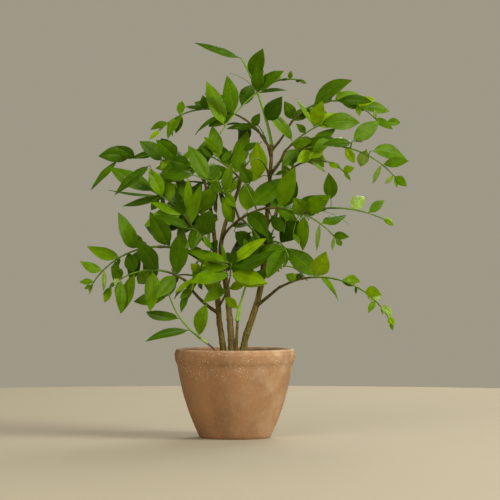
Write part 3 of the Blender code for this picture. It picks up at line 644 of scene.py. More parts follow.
# The leaves that show, under the name of the limb that carries them
SEEN = {
    "top_spray": (
        Seen((241, 59), (194, 43), 8, DEEP), Seen((254, 77), (263, 50), 16, MATURE),
        Seen((260, 91), (257, 66), 13, MATURE), Seen((258, 92), (284, 72), 12, MATURE, 0.1),
        Seen((258, 93), (287, 90), 4, DEEP, 0.1), Seen((266, 121), (282, 98), 17, DEEP)),
    "top_hanging_twig": (
        Seen((241, 108), (253, 83), 14, DEEP), Seen((232, 113), (227, 76), 16, MATURE),
        Seen((224, 127), (206, 80), 16, FRESH, 0.07), Seen((232, 114), (194, 135), 5, MATURE, 0.16)),
    "top_twiglet": (
        Seen((290, 78), (291, 71), 5, FRESH), Seen((297, 78), (307, 83), 4, DEEP),
        Seen((296, 77), (299, 82), 3, MATURE), Seen((281, 82), (289, 80), 3, DEEP)),
    "top_left_spray": (
        Seen((257, 127), (226, 129), 7, DEEP, 0.1), Seen((252, 127), (260, 114), 9, MATURE),
        Seen((206, 108), (203, 96), 10, MATURE),
        Seen((208, 108), (184, 107), 4, DEEP), Seen((179, 115), (182, 100), 8, FRESH),
        Seen((183, 114), (168, 140), 9, FRESH, 0.12), Seen((168, 122), (150, 130), 7, MATURE, 0.1),
        Seen((160, 130), (149, 140), 5, BRIGHT)),
    "top_right_spray": (
        Seen((291, 121), (311, 107), 11, DEEP), Seen((292, 118), (284, 102), 12, MATURE),
        Seen((313, 106), (352, 81), 15, MATURE, 0.11), Seen((336, 101), (345, 92), 11, MATURE),
        Seen((336, 100), (372, 103), 11, DEEP, 0.08), Seen((359, 105), (391, 111), 11, MATURE, 0.08),
        Seen((357, 107), (359, 117), 6, FRESH), Seen((376, 118), (374, 110), 4, YOUNG),
        Seen((386, 122), (401, 122), 8, MATURE), Seen((375, 117), (393, 130), 8, MATURE)),
    "upper_right_spray": (
        Seen((315, 130), (322, 102), 14, BRIGHT), Seen((322, 125), (361, 122), 17, MATURE, 0.08),
        Seen((315, 128), (296, 97), 5, FRESH), Seen((307, 135), (296, 124), 7, MATURE),
        Seen((303, 141), (338, 140), 10, DEEP), Seen((292, 147), (312, 142), 10, FRESH),
        Seen((292, 142), (264, 104), 12, FRESH, 0.08)),
    "right_arch_spray": (
        Seen((352, 142), (381, 120), 16, MATURE), Seen((352, 143), (322, 145), 10, DEEP),
        Seen((300, 152), (281, 167), 14, DEEP), Seen((312, 152), (296, 163), 12, BRIGHT),
        Seen((324, 150), (308, 159), 9, BRIGHT), Seen((330, 139), (312, 152), 11, MATURE),
        Seen((345, 146), (355, 163), 9, BRIGHT), Seen((367, 149), (361, 166), 12, YOUNG),
        Seen((371, 151), (409, 160), 15, MATURE, 0.12), Seen((382, 165), (409, 161), 10, MATURE),
        Seen((381, 166), (373, 184), 5, YOUNG), Seen((393, 176), (385, 184), 5, YOUNG),
        Seen((393, 177), (406, 187), 9, FRESH), Seen((394, 178), (397, 188), 4, FRESH)),
    "right_spray": (
        Seen((311, 161), (326, 173), 4, YOUNG), Seen((329, 163), (337, 169), 6, BRIGHT),
        Seen((334, 162), (341, 168), 5, YOUNG), Seen((344, 170), (354, 168), 8, BRIGHT),
        Seen((345, 171), (351, 181), 4, FRESH)),
    "middle_left_spray": (
        Seen((220, 158), (212, 125), 13, FRESH), Seen((218, 152), (204, 137), 9, FRESH),
        Seen((214, 155), (200, 146), 7, DEEP), Seen((222, 162), (232, 150), 7, MATURE)),
    "upper_left_spray": (
        Seen((192, 165), (167, 160), 15, DEEP), Seen((177, 157), (157, 141), 17, MATURE),
        Seen((163, 161), (140, 142), 11, DEEP), Seen((160, 170), (168, 158), 7, BRIGHT),
        Seen((131, 157), (99, 157), 16, DEEP, 0.1), Seen((133, 157), (116, 146), 11, DEEP),
        Seen((155, 158), (131, 158), 7, DEEP, 0.1), Seen((118, 160), (91, 191), 7, MATURE)),
    "left_light_spray": (
        Seen((208, 181), (188, 145), 16, MATURE), Seen((195, 174), (158, 173), 12, MATURE),
        Seen((208, 178), (219, 164), 13, DEEP), Seen((225, 193), (232, 163), 11, FRESH),
        Seen((216, 189), (196, 214), 17, FRESH), Seen((225, 193), (236, 208), 9, FRESH),
        Seen((231, 191), (237, 180), 6, FRESH), Seen((211, 181), (222, 194), 9, MATURE)),
    "left_mid_spray": (
        Seen((153, 191), (108, 166), 17, MATURE, 0.03, lean=20),
        Seen((150, 165), (115, 196), 10, DEEP, lean=-20, before=0.012),
        Seen((160, 195), (108, 190), 3, DEEP, 0.0),
        Seen((162, 199), (121, 206), 8, MATURE), Seen((184, 215), (150, 202), 9, FRESH),
        Seen((164, 195), (149, 168), 14, FRESH), Seen((172, 202), (166, 178), 12, FRESH),
        Seen((185, 199), (178, 180), 9, MATURE), Seen((188, 212), (188, 178), 8, FRESH),
        Seen((185, 215), (175, 197), 9, DEEP)),
    "front_left_spray": (
        Seen((191, 226), (200, 184), 12, FRESH), Seen((191, 229), (150, 215), 8, DEEP, 0.1),
        Seen((189, 229), (160, 219), 4, DEEP), Seen((202, 237), (211, 210), 20, DEEP, lean=-32),
        Seen((196, 224), (191, 250), 10, MATURE), Seen((203, 235), (211, 249), 6, MATURE)),
    "left_arch_spray": (
        Seen((139, 247), (119, 212), 14, MATURE, -0.07), Seen((121, 257), (87, 246), 12, FRESH, -0.1),
        Seen((103, 270), (80, 261), 9, FRESH, -0.04), Seen((91, 280), (79, 282), 6, FRESH),
        Seen((90, 284), (84, 289), 4, FRESH), Seen((91, 281), (89, 295), 3, YOUNG),
        Seen((105, 271), (104, 291), 5, YOUNG), Seen((121, 260), (118, 268), 4, DEEP),
        Seen((169, 244), (151, 213), 19, MATURE), Seen((170, 247), (150, 247), 3, MATURE)),
    "low_left_spray": (
        Seen((122, 279), (112, 266), 11, MATURE), Seen((118, 276), (115, 285), 5, YOUNG),
        Seen((134, 275), (127, 253), 14, DEEP), Seen((157, 269), (138, 240), 17, DEEP),
        Seen((122, 281), (121, 314), 10, MATURE), Seen((136, 276), (121, 314), 13, FRESH),
        Seen((150, 268), (137, 284), 14, FRESH), Seen((152, 272), (150, 312), 16, FRESH, 0.0),
        Seen((175, 277), (157, 298), 15, MATURE), Seen((177, 272), (184, 228), 19, MATURE),
        Seen((118, 284), (109, 288), 4, DEEP), Seen((113, 288), (104, 303), 8, BRIGHT),
        Seen((110, 288), (103, 295), 3, DEEP)),
    "low_shoot_spray": (
        Seen((166, 297), (133, 302), 13, FRESH), Seen((181, 318), (145, 312), 11, MATURE, 0.0),
        Seen((190, 331), (146, 341), 8, DEEP, 0.10), Seen((200, 336), (207, 303), 13, FRESH, 0.1)),
    "hanging_spray": (
        Seen((190, 278), (175, 293), 5, BRIGHT), Seen((193, 281), (188, 296), 6, BRIGHT),
        Seen((199, 272), (191, 263), 9, BRIGHT), Seen((191, 290), (180, 298), 8, MATURE),
        Seen((188, 288), (181, 313), 7, MATURE), Seen((196, 256), (207, 266), 3, MATURE),
        Seen((211, 250), (218, 240), 8, MATURE)),
    "front_spray": (
        Seen((228, 262), (184, 250), 11, FRESH), Seen((228, 273), (190, 283), 15, FRESH, 0.08),
        Seen((229, 266), (200, 268), 9, FRESH), Seen((226, 263), (221, 243), 4, MATURE),
        Seen((231, 261), (236, 250), 9, DEEP), Seen((232, 264), (267, 238), 11, BRIGHT, 0.08),
        Seen((233, 267), (276, 250), 13, DEEP, -0.03), Seen((231, 273), (267, 283), 16, BRIGHT, 0.08),
        Seen((226, 289), (203, 303), 12, FRESH, 0.12), Seen((227, 298), (238, 309), 9, BRIGHT)),
    "inner_spray": (Seen((250, 283), (229, 289), 9, BRIGHT),),
    "front_right_spray": (Seen((282, 249), (267, 279), 15, MATURE), Seen((283, 250), (286, 265), 7, DEEP)),
    "centre_right_spray": (
        Seen((262, 246), (255, 222), 13, DEEP), Seen((269, 246), (268, 229), 6, DEEP),
        Seen((285, 251), (254, 252), 11, MATURE)),
    "centre_front_spray": (
        Seen((247, 213), (268, 238), 17, DEEP, 0.1), Seen((234, 231), (252, 246), 14, DEEP)),
    "cross_bough": (
        Seen((247, 213), (246, 181), 17, FRESH, before=0.014), Seen((233, 229), (250, 224), 6, DEEP),
        Seen((232, 222), (222, 197), 12, FRESH)),
    "centre_high_spray": (
        Seen((251, 208), (284, 177), 20, MATURE, lean=32), Seen((250, 184), (240, 166), 13, MATURE)),
    "centre_top_spray": (
        Seen((243, 150), (259, 143), 7, DEEP), Seen((237, 172), (248, 129), 16, FRESH, 0.09)),
    "upper_front_spray": (Seen((259, 178), (257, 142), 17, BRIGHT), Seen((275, 175), (287, 171), 4, DEEP)),
    "cross_spray": (
        Seen((280, 206), (295, 167), 18, FRESH), Seen((303, 214), (293, 198), 16, FRESH),
        Seen((277, 210), (298, 222), 10, MATURE), Seen((300, 219), (281, 243), 20, DEEP),
        Seen((284, 233), (271, 215), 12, DEEP), Seen((304, 217), (303, 251), 13, FRESH),
        Seen((319, 225), (317, 251), 5, YOUNG), Seen((321, 224), (347, 215), 10, MATURE),
        Seen((333, 235), (349, 237), 8, MATURE), Seen((333, 237), (332, 251), 4, YOUNG),
        Seen((336, 239), (342, 246), 6, FRESH), Seen((293, 233), (300, 245), 5, MATURE),
        Seen((270, 207), (279, 198), 7, MATURE)),
    "cross_fork": (
        Seen((306, 212), (330, 196), 17, FRESH), Seen((331, 200), (328, 173), 14, MATURE),
        Seen((308, 215), (327, 210), 5, DEEP), Seen((350, 207), (366, 196), 14, YOUNG),
        Seen((368, 212), (385, 200), 9, MATURE), Seen((383, 219), (394, 226), 5, FRESH),
        Seen((383, 219), (393, 221), 4, YOUNG)),
    "low_right_spray": (
        Seen((319, 280), (285, 248), 19, MATURE, 0.05), Seen((317, 276), (325, 251), 19, BRIGHT),
        Seen((297, 282), (285, 274), 9, FRESH), Seen((296, 279), (303, 273), 6, DEEP),
        Seen((320, 279), (339, 302), 6, FRESH, 0.15), Seen((341, 279), (355, 286), 8, MATURE, 0.1),
        Seen((343, 278), (361, 282), 9, FRESH, 0.12), Seen((355, 286), (356, 294), 3, DEEP),
        Seen((366, 291), (381, 295), 11, BRIGHT, 0.1), Seen((368, 293), (374, 302), 5, YOUNG),
        Seen((372, 303), (368, 313), 6, FRESH), Seen((381, 305), (392, 315), 7, YOUNG, 0.1),
        Seen((382, 306), (383, 315), 3, YOUNG), Seen((390, 317), (394, 325), 7, BRIGHT),
        Seen((391, 320), (393, 331), 4, FRESH)),
}


# The rule by which the plant grows, as in the part's source


@dataclass(frozen=True)
class Stem:
    """A stem that stands in the soil and rises through a few places."""

    name: str
    base_radius: float
    tip_radius: float
    places: tuple[tuple[float, float, float], ...]


@dataclass(frozen=True)
class Bend:
    """A bough or twig: where it leaves its parent, its two directions (heading, climb) and its length."""

    name: str
    parent: str
    at: float  # of the way along the parent
    start: Angles
    end: Angles
    length: float
    base_radius: float = 0.0016
    tip_radius: float = 0.0012


@dataclass(frozen=True)
class Spray(Bend):
    """A twig with its leaves. One whose parent is a spray belongs to the same mass."""

    base_radius: float = 0.0012
    tip_radius: float = 0.0006
    leaves: int = 9
    biggest: float = 0.046
    smallest: float = 0.024
    opening: float = 55.0  # degrees between a leaf and the twig
    faces: float = 270.0  # heading that the blades look towards
    droop: float = 0.25  # how strongly the leaves hang
    forked: bool = False  # with a side twig
    end_leaf: tuple[float, ...] = ()  # heading, climb and length of the leaf at the tip, where it stands out
    seed: int = 1
    tone: Tone = MATURE


SOIL_TOP = round(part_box("potting_soil")[1].z, 4)
FIRST_CORNER = np.array([0.31, 0.95, 0.05])
SAME_DIRECTION = 1e-4  # radians
DIRECTION_STEP = 0.02  # of a limb's length, to each side of where its direction is taken

STEMS = (
    Stem("left_stem", 0.0040, 0.0018, (
        (-0.013, -0.001, SOIL_TOP), (-0.017, 0.001, 0.128), (-0.020, 0.002, 0.149), (-0.022, 0.003, 0.184),
        (-0.024, 0.006, 0.228), (-0.028, 0.010, 0.269), (-0.033, 0.012, 0.297), (-0.038, 0.012, 0.320))),
    Stem("middle_stem", 0.0046, 0.0018, (
        (-0.004, 0.011, SOIL_TOP), (-0.005, 0.011, 0.128), (-0.010, 0.012, 0.182), (-0.015, 0.015, 0.212),
        (-0.018, 0.018, 0.238), (-0.012, 0.020, 0.268), (-0.001, 0.018, 0.296), (0.008, 0.016, 0.322))),
    Stem("thin_stem", 0.0022, 0.0017, (
        (0.001, -0.006, SOIL_TOP), (0.002, -0.006, 0.122), (0.003, -0.006, 0.146))),
    Stem("right_stem", 0.0044, 0.0020, (
        (0.009, 0.001, SOIL_TOP), (0.013, 0.000, 0.124), (0.024, 0.000, 0.157), (0.033, 0.001, 0.193),
        (0.038, 0.002, 0.249), (0.042, 0.003, 0.303), (0.045, 0.005, 0.344), (0.046, 0.005, 0.366))),
    Stem("low_shoot", 0.0015, 0.0014, (
        (-0.013, -0.015, SOIL_TOP), (-0.027, -0.018, 0.112), (-0.043, -0.024, 0.125))),
)

BOUGHS = (
    Bend("low_left_bough", "left_stem", 0.26, (213, 26), (214, 54), 0.065, 0.0022, 0.0014),
    Bend("left_arch_bough", "left_stem", 0.47, (208, 44), (193, 28), 0.052, 0.0018, 0.0013),
    Bend("left_mid_bough", "left_stem", 0.60, (228, 31), (186, 51), 0.048, 0.0018, 0.0013),
    Bend("cross_bough", "middle_stem", 0.66, (296, 42), (358, 15), 0.075, 0.0018, 0.0013),
    Bend("low_right_bough", "right_stem", 0.25, (334, 37), (349, 39), 0.040, 0.0024, 0.0016),
    Bend("right_bough", "right_stem", 0.72, (320, 49), (353, 64), 0.044, 0.0018, 0.0013),
    Bend("upper_right_bough", "right_stem", 0.86, (330, 42), (338, 68), 0.036, 0.0019, 0.0014),
    Bend("top_left_bough", "right_stem", 0.975, (156, 49), (166, 60), 0.030, 0.0018, 0.0013),
    Bend("top_right_bough", "right_stem", 0.975, (27, 42), (1, 60), 0.030, 0.0018, 0.0013),
)

SPRAYS = (
    Spray("low_shoot_spray", "low_shoot", 1.0, (200, 34), (224, 69), 0.072,
          leaves=5, biggest=0.058, smallest=0.028, opening=58, droop=0.5, seed=2150),
    Spray("low_left_spray", "low_left_bough", 1.0, (207, 33), (190, -49), 0.115,
          leaves=12, biggest=0.056, smallest=0.016, opening=66, droop=0.15, seed=4028, tone=FRESH),
    Spray("left_arch_spray", "left_arch_bough", 1.0, (197, 19), (195, -62), 0.144,
          leaves=11, biggest=0.056, smallest=0.013, opening=58, droop=0.15, seed=790),
    Spray("left_mid_spray", "left_mid_bough", 1.0, (203, 60), (192, 23), 0.064,
          leaves=10, biggest=0.050, smallest=0.044, opening=58, droop=0, seed=9906,
          end_leaf=(184, 1, 0.060)),
    Spray("upper_left_spray", "left_stem", 1.0, (167, 56), (175, -19), 0.100,
          leaves=10, biggest=0.046, smallest=0.042, opening=42, droop=0, seed=6827,
          end_leaf=(180, 0, 0.044)),
    Spray("left_light_spray", "cross_bough", 0.50, (234, 66), (192, 15), 0.085,
          leaves=8, biggest=0.046, smallest=0.042, opening=58, droop=0, seed=7111,
          end_leaf=(185, 5, 0.044), tone=FRESH),
    Spray("middle_left_spray", "middle_stem", 1.0, (174, 50), (174, 21), 0.059,
          leaves=7, biggest=0.052, smallest=0.034, opening=50, droop=0, seed=6075, tone=FRESH),
    Spray("top_left_spray", "top_left_bough", 1.0, (173, 48), (192, -48), 0.140,
          leaves=11, biggest=0.046, smallest=0.017, opening=42, droop=0, seed=395),
    Spray("top_spray", "right_stem", 1.0, (190, 80), (191, 61), 0.115,
          base_radius=0.0016, tip_radius=0.0010, leaves=8, biggest=0.040, smallest=0.038, opening=42,
          droop=0.15, seed=3184, end_leaf=(178, 17, 0.064)),
    Spray("top_twiglet", "top_spray", 0.60, (350, 40), (356, -12), 0.060,
          leaves=4, biggest=0.018, smallest=0.016, opening=66, droop=0, seed=3289),
    Spray("top_right_spray", "top_right_bough", 1.0, (10, 64), (347, -48), 0.134,
          leaves=12, biggest=0.052, smallest=0.015, opening=42, droop=0.3, seed=5095, tone=FRESH),
    Spray("upper_right_spray", "upper_right_bough", 1.0, (351, 48), (340, 22), 0.059,
          leaves=8, biggest=0.056, smallest=0.040, opening=50, droop=0.5, seed=915, tone=BRIGHT),
    Spray("right_arch_spray", "upper_right_bough", 0.60, (332, 32), (344, -48), 0.166,
          leaves=14, biggest=0.046, smallest=0.018, opening=58, droop=0, seed=6808),
    Spray("right_spray", "right_bough", 1.0, (341, 50), (343, -54), 0.096,
          leaves=6, biggest=0.028, smallest=0.011, opening=58, droop=0, seed=6531, tone=FRESH),
    Spray("cross_spray", "cross_bough", 1.0, (346, 5), (339, -53), 0.110,
          leaves=15, biggest=0.050, smallest=0.018, opening=66, droop=0.15, seed=4971, tone=DEEP),
    Spray("cross_fork", "cross_spray", 0.42, (356, 17), (355, -25), 0.106,
          leaves=8, biggest=0.042, smallest=0.014, opening=58, droop=0, seed=3538),
    Spray("centre_right_spray", "right_stem", 0.48, (300, 52), (331, -34), 0.053,
          leaves=5, biggest=0.050, smallest=0.056, opening=58, droop=0.5, seed=7040, tone=DEEP),
    Spray("low_right_spray", "low_right_bough", 1.0, (348, 29), (349, -66), 0.169,
          leaves=14, biggest=0.036, smallest=0.014, opening=58, droop=0, seed=9359, tone=BRIGHT),
    Spray("front_spray", "left_stem", 0.29, (303, 40), (272, 57), 0.074,
          leaves=8, biggest=0.052, smallest=0.050, opening=58, droop=0.5, seed=9399, tone=BRIGHT),
    Spray("hanging_spray", "left_stem", 0.53, (211, 44), (316, -77), 0.059,
          leaves=5, biggest=0.032, smallest=0.024, opening=42, droop=0.5, seed=3150, tone=FRESH),
    Spray("centre_front_spray", "cross_bough", 0.54, (312, -30), (317, -49), 0.053,
          leaves=5, biggest=0.040, smallest=0.036, opening=55, droop=0.25, seed=21, tone=DEEP),
    Spray("centre_top_spray", "middle_stem", 0.93, (293, 78), (324, 34), 0.058,
          leaves=6, biggest=0.048, smallest=0.038, opening=50, droop=0.1, seed=34, tone=BRIGHT),
    Spray("inner_spray", "thin_stem", 1.0, (311, 78), (317, 48), 0.095,
          leaves=6, biggest=0.042, smallest=0.038, opening=52, droop=0.2, seed=41),
    Spray("centre_high_spray", "right_stem", 0.60, (240, 50), (212, 62), 0.066,
          leaves=7, biggest=0.050, smallest=0.040, opening=52, droop=0.2, seed=47),
    Spray("left_rear_spray", "left_stem", 0.74, (130, 45), (150, 0), 0.105,
          faces=110, forked=True, seed=52),
    Spray("rear_left_spray", "middle_stem", 0.85, (112, 40), (120, -15), 0.125,
          faces=160, forked=True, seed=57, tone=FRESH),
    Spray("rear_right_spray", "right_stem", 0.62, (62, 42), (52, -25), 0.130,
          faces=20, forked=True, seed=63),
    Spray("rear_spray", "middle_stem", 0.45, (78, 45), (88, -20), 0.130,
          faces=180, forked=True, seed=68, tone=DEEP),
    Spray("low_left_rear_spray", "left_stem", 0.38, (125, 35), (140, -25), 0.120,
          faces=180, forked=True, seed=74),
    Spray("low_right_rear_spray", "right_stem", 0.37, (60, 35), (62, -35), 0.130,
          faces=0, forked=True, seed=79, tone=FRESH),
    Spray("top_rear_spray", "right_stem", 0.93, (110, 60), (100, 0), 0.100,
          faces=90, forked=True, seed=83),
    Spray("upper_rear_spray", "right_stem", 0.80, (82, 50), (72, -10), 0.105,
          leaves=8, faces=10, seed=88, tone=FRESH),
    Spray("front_right_spray", "right_stem", 0.53, (292, 20), (282, -35), 0.100,
          leaves=8, faces=350, seed=91),
    Spray("front_left_spray", "left_stem", 0.70, (252, 25), (264, -30), 0.100,
          leaves=8, faces=200, seed=97),
    Spray("upper_front_spray", "right_stem", 0.83, (262, 50), (244, -20), 0.090,
          leaves=7, faces=300, seed=102, tone=FRESH),
)

# Finer twigs, which are too slight for the part's solids
FINE_TWIGS = (
    Bend("top_hanging_twig", "top_spray", 0.59, (186, -38), (182, -58), 0.070, 0.0011, 0.0008),
    Bend("long_tendril", "top_spray", 0.585, (186, 58), (182, 12), 0.044, 0.0005, 0.0003),
    Bend("short_tendril", "top_spray", 0.57, (190, 40), (184, -10), 0.023, 0.0005, 0.0003),
    Bend("cross_tendril", "cross_fork", 0.16, (350, -2), (345, -42), 0.050, 0.0004, 0.0003),
)


def unit(vector: Array) -> Array:
    """The vector at length 1, or each vector of an array of them."""
    return vector / np.linalg.norm(vector, axis=-1, keepdims=True)


def towards(heading: float, climb: float) -> Array:
    """The direction with this heading and climb."""
    around, up = math.radians(heading), math.radians(climb)
    return np.array([math.cos(up) * math.cos(around), math.cos(up) * math.sin(around), math.sin(up)])


def across(vector: Array, axis: Array) -> Array:
    """The part of a vector that is square to an axis, at length 1, or of each vector of an array."""
    return unit(vector - axis * np.sum(vector * axis, axis=-1, keepdims=True))


def turned_towards(first: Array, second: Array, share: float) -> Array:
    """The direction a share of the way from one direction to another, along the great circle."""
    angle = math.acos(max(-1.0, min(1.0, float(first @ second))))
    if angle < SAME_DIRECTION:
        return first
    return (math.sin((1 - share) * angle) * first + math.sin(share * angle) * second) / math.sin(angle)


def smooth_route(places: Array, step: float) -> Array:
    """A smooth curve through places: between two of them it is the cubic that their neighbours' chords steer.

    Args:
        places: The points that it goes through.
        step: About how far apart the points on it are.

    Returns:
        Its points.
    """
    held = np.vstack([2 * places[0] - places[1], places, 2 * places[-1] - places[-2]])
    route = []
    for before, here, there, after in zip(held, held[1:], held[2:], held[3:]):
        count = max(2, round(np.linalg.norm(there - here) / step))
        share = (np.arange(count) / count)[:, None]
        route.append(0.5 * (2 * here + (there - before) * share
                            + (2 * before - 5 * here + 4 * there - after) * share ** 2
                            + (3 * here - before - 3 * there + after) * share ** 3))
    return np.vstack(route + [held[-2:-1]])


def shares_along(points: Array) -> Array:
    """How far along a route each of its points is, from 0 to 1."""
    steps = np.linalg.norm(np.diff(points, axis=0), axis=1)
    return np.concatenate([[0.0], np.cumsum(steps)]) / steps.sum()


@dataclass
class Limb:
    """A limb worked out from its stem or bend: points along its axis and the radius at each."""

    name: str
    points: Array
    radii: Array
    mass: str = ""
    root: Array | None = None  # the point on its parent's axis that it comes from

    def reach(self) -> Array:
        """How far along the limb each of its points is, from 0 to 1."""
        return shares_along(self.points)

    def place(self, at: float) -> Array:
        """The point this far along the limb's axis."""
        return np.array([np.interp(at, self.reach(), self.points[:, axis]) for axis in range(3)])

    def radius(self, at: float) -> float:
        """The limb's radius this far along it."""
        return float(np.interp(at, self.reach(), self.radii))

    def direction(self, at: float) -> Array:
        """The way the limb runs this far along it."""
        return unit(self.place(min(1.0, at + DIRECTION_STEP)) - self.place(max(0.0, at - DIRECTION_STEP)))

    def finer(self, step: float) -> "Limb":
        """The same limb on a smooth curve through its points, from its parent's axis where it has one."""
        held = self.points if self.root is None else np.vstack([self.root, self.points[1:]])
        points = smooth_route(held, step)
        radii = np.interp(shares_along(points), self.reach(), self.radii)
        return Limb(self.name, points, radii, self.mass)


@dataclass(frozen=True)
class Leaf:
    """One leaf: its root, the ways it points and its upper face looks, its size, and what it grows on."""

    root: Array
    direction: Array
    face: Array
    length: float
    width: float
    twig: str
    at: float
    tone: Tone | None = None  # where the photograph shows it
    arch: float = 0.0  # how far it bends from root to tip, where that is settled
    bow: float = 0.0  # how far its middle lies to one side, against its length

    def along_rib(self, share: Array) -> Array:
        """The points this far along the middle line, for a leaf whose bend is settled."""
        bent = self.arch * share[:, None]
        return (self.root + self.direction * (np.sin(bent) / self.arch * self.length)
                - self.face * ((1 - np.cos(bent)) / self.arch * self.length))

    def shape(self, grow: float = 0.0, blade_only: bool = False) -> Shape:
        """The plain shape that keeps its space free: a three-cornered tube from stalk to tip.

        Args:
            grow: How far the shape stands off the leaf.
            blade_only: Whether the stalk's end is left off.

        Returns:
            Its corners and faces.
        """
        outline = Grower.large_outline if self.length >= Grower.large_leaf else Grower.small_outline
        sideways = np.cross(self.direction, self.face)
        keel = self.length * Grower.leaf_thickness + Grower.rib_thickness
        arch = math.radians(Grower.leaf_arch)
        rows = []
        for along, wide in outline:
            bent = arch * along
            middle = self.root + self.direction * (math.sin(bent) / arch * self.length)
            middle = middle - self.face * ((1 - math.cos(bent)) / arch * self.length)
            upward = self.face * math.cos(bent) + self.direction * math.sin(bent)
            half = max(wide * self.width * self.length / 2, Grower.stalk_radius) + grow
            deep = (Grower.stalk_depth if along == 0.0 else keel) + grow
            if along == 1.0:
                rows.append(np.array([middle + self.direction * grow]))
                continue
            rows.append(np.array([
                middle - sideways * half + upward * grow, middle - upward * deep,
                middle + sideways * half + upward * grow]))
        if blade_only:
            rows = rows[1:]
        faces = [(2, 1, 0)]
        for row in range(len(rows) - 2):
            for side in range(3):
                here, there = 3 * row + side, 3 * row + (side + 1) % 3
                faces.append((here, there, there + 3, here + 3))
        last, tip = 3 * (len(rows) - 2), 3 * (len(rows) - 1)
        faces += [(last + side, last + (side + 1) % 3, tip) for side in range(3)]
        return np.vstack(rows), faces


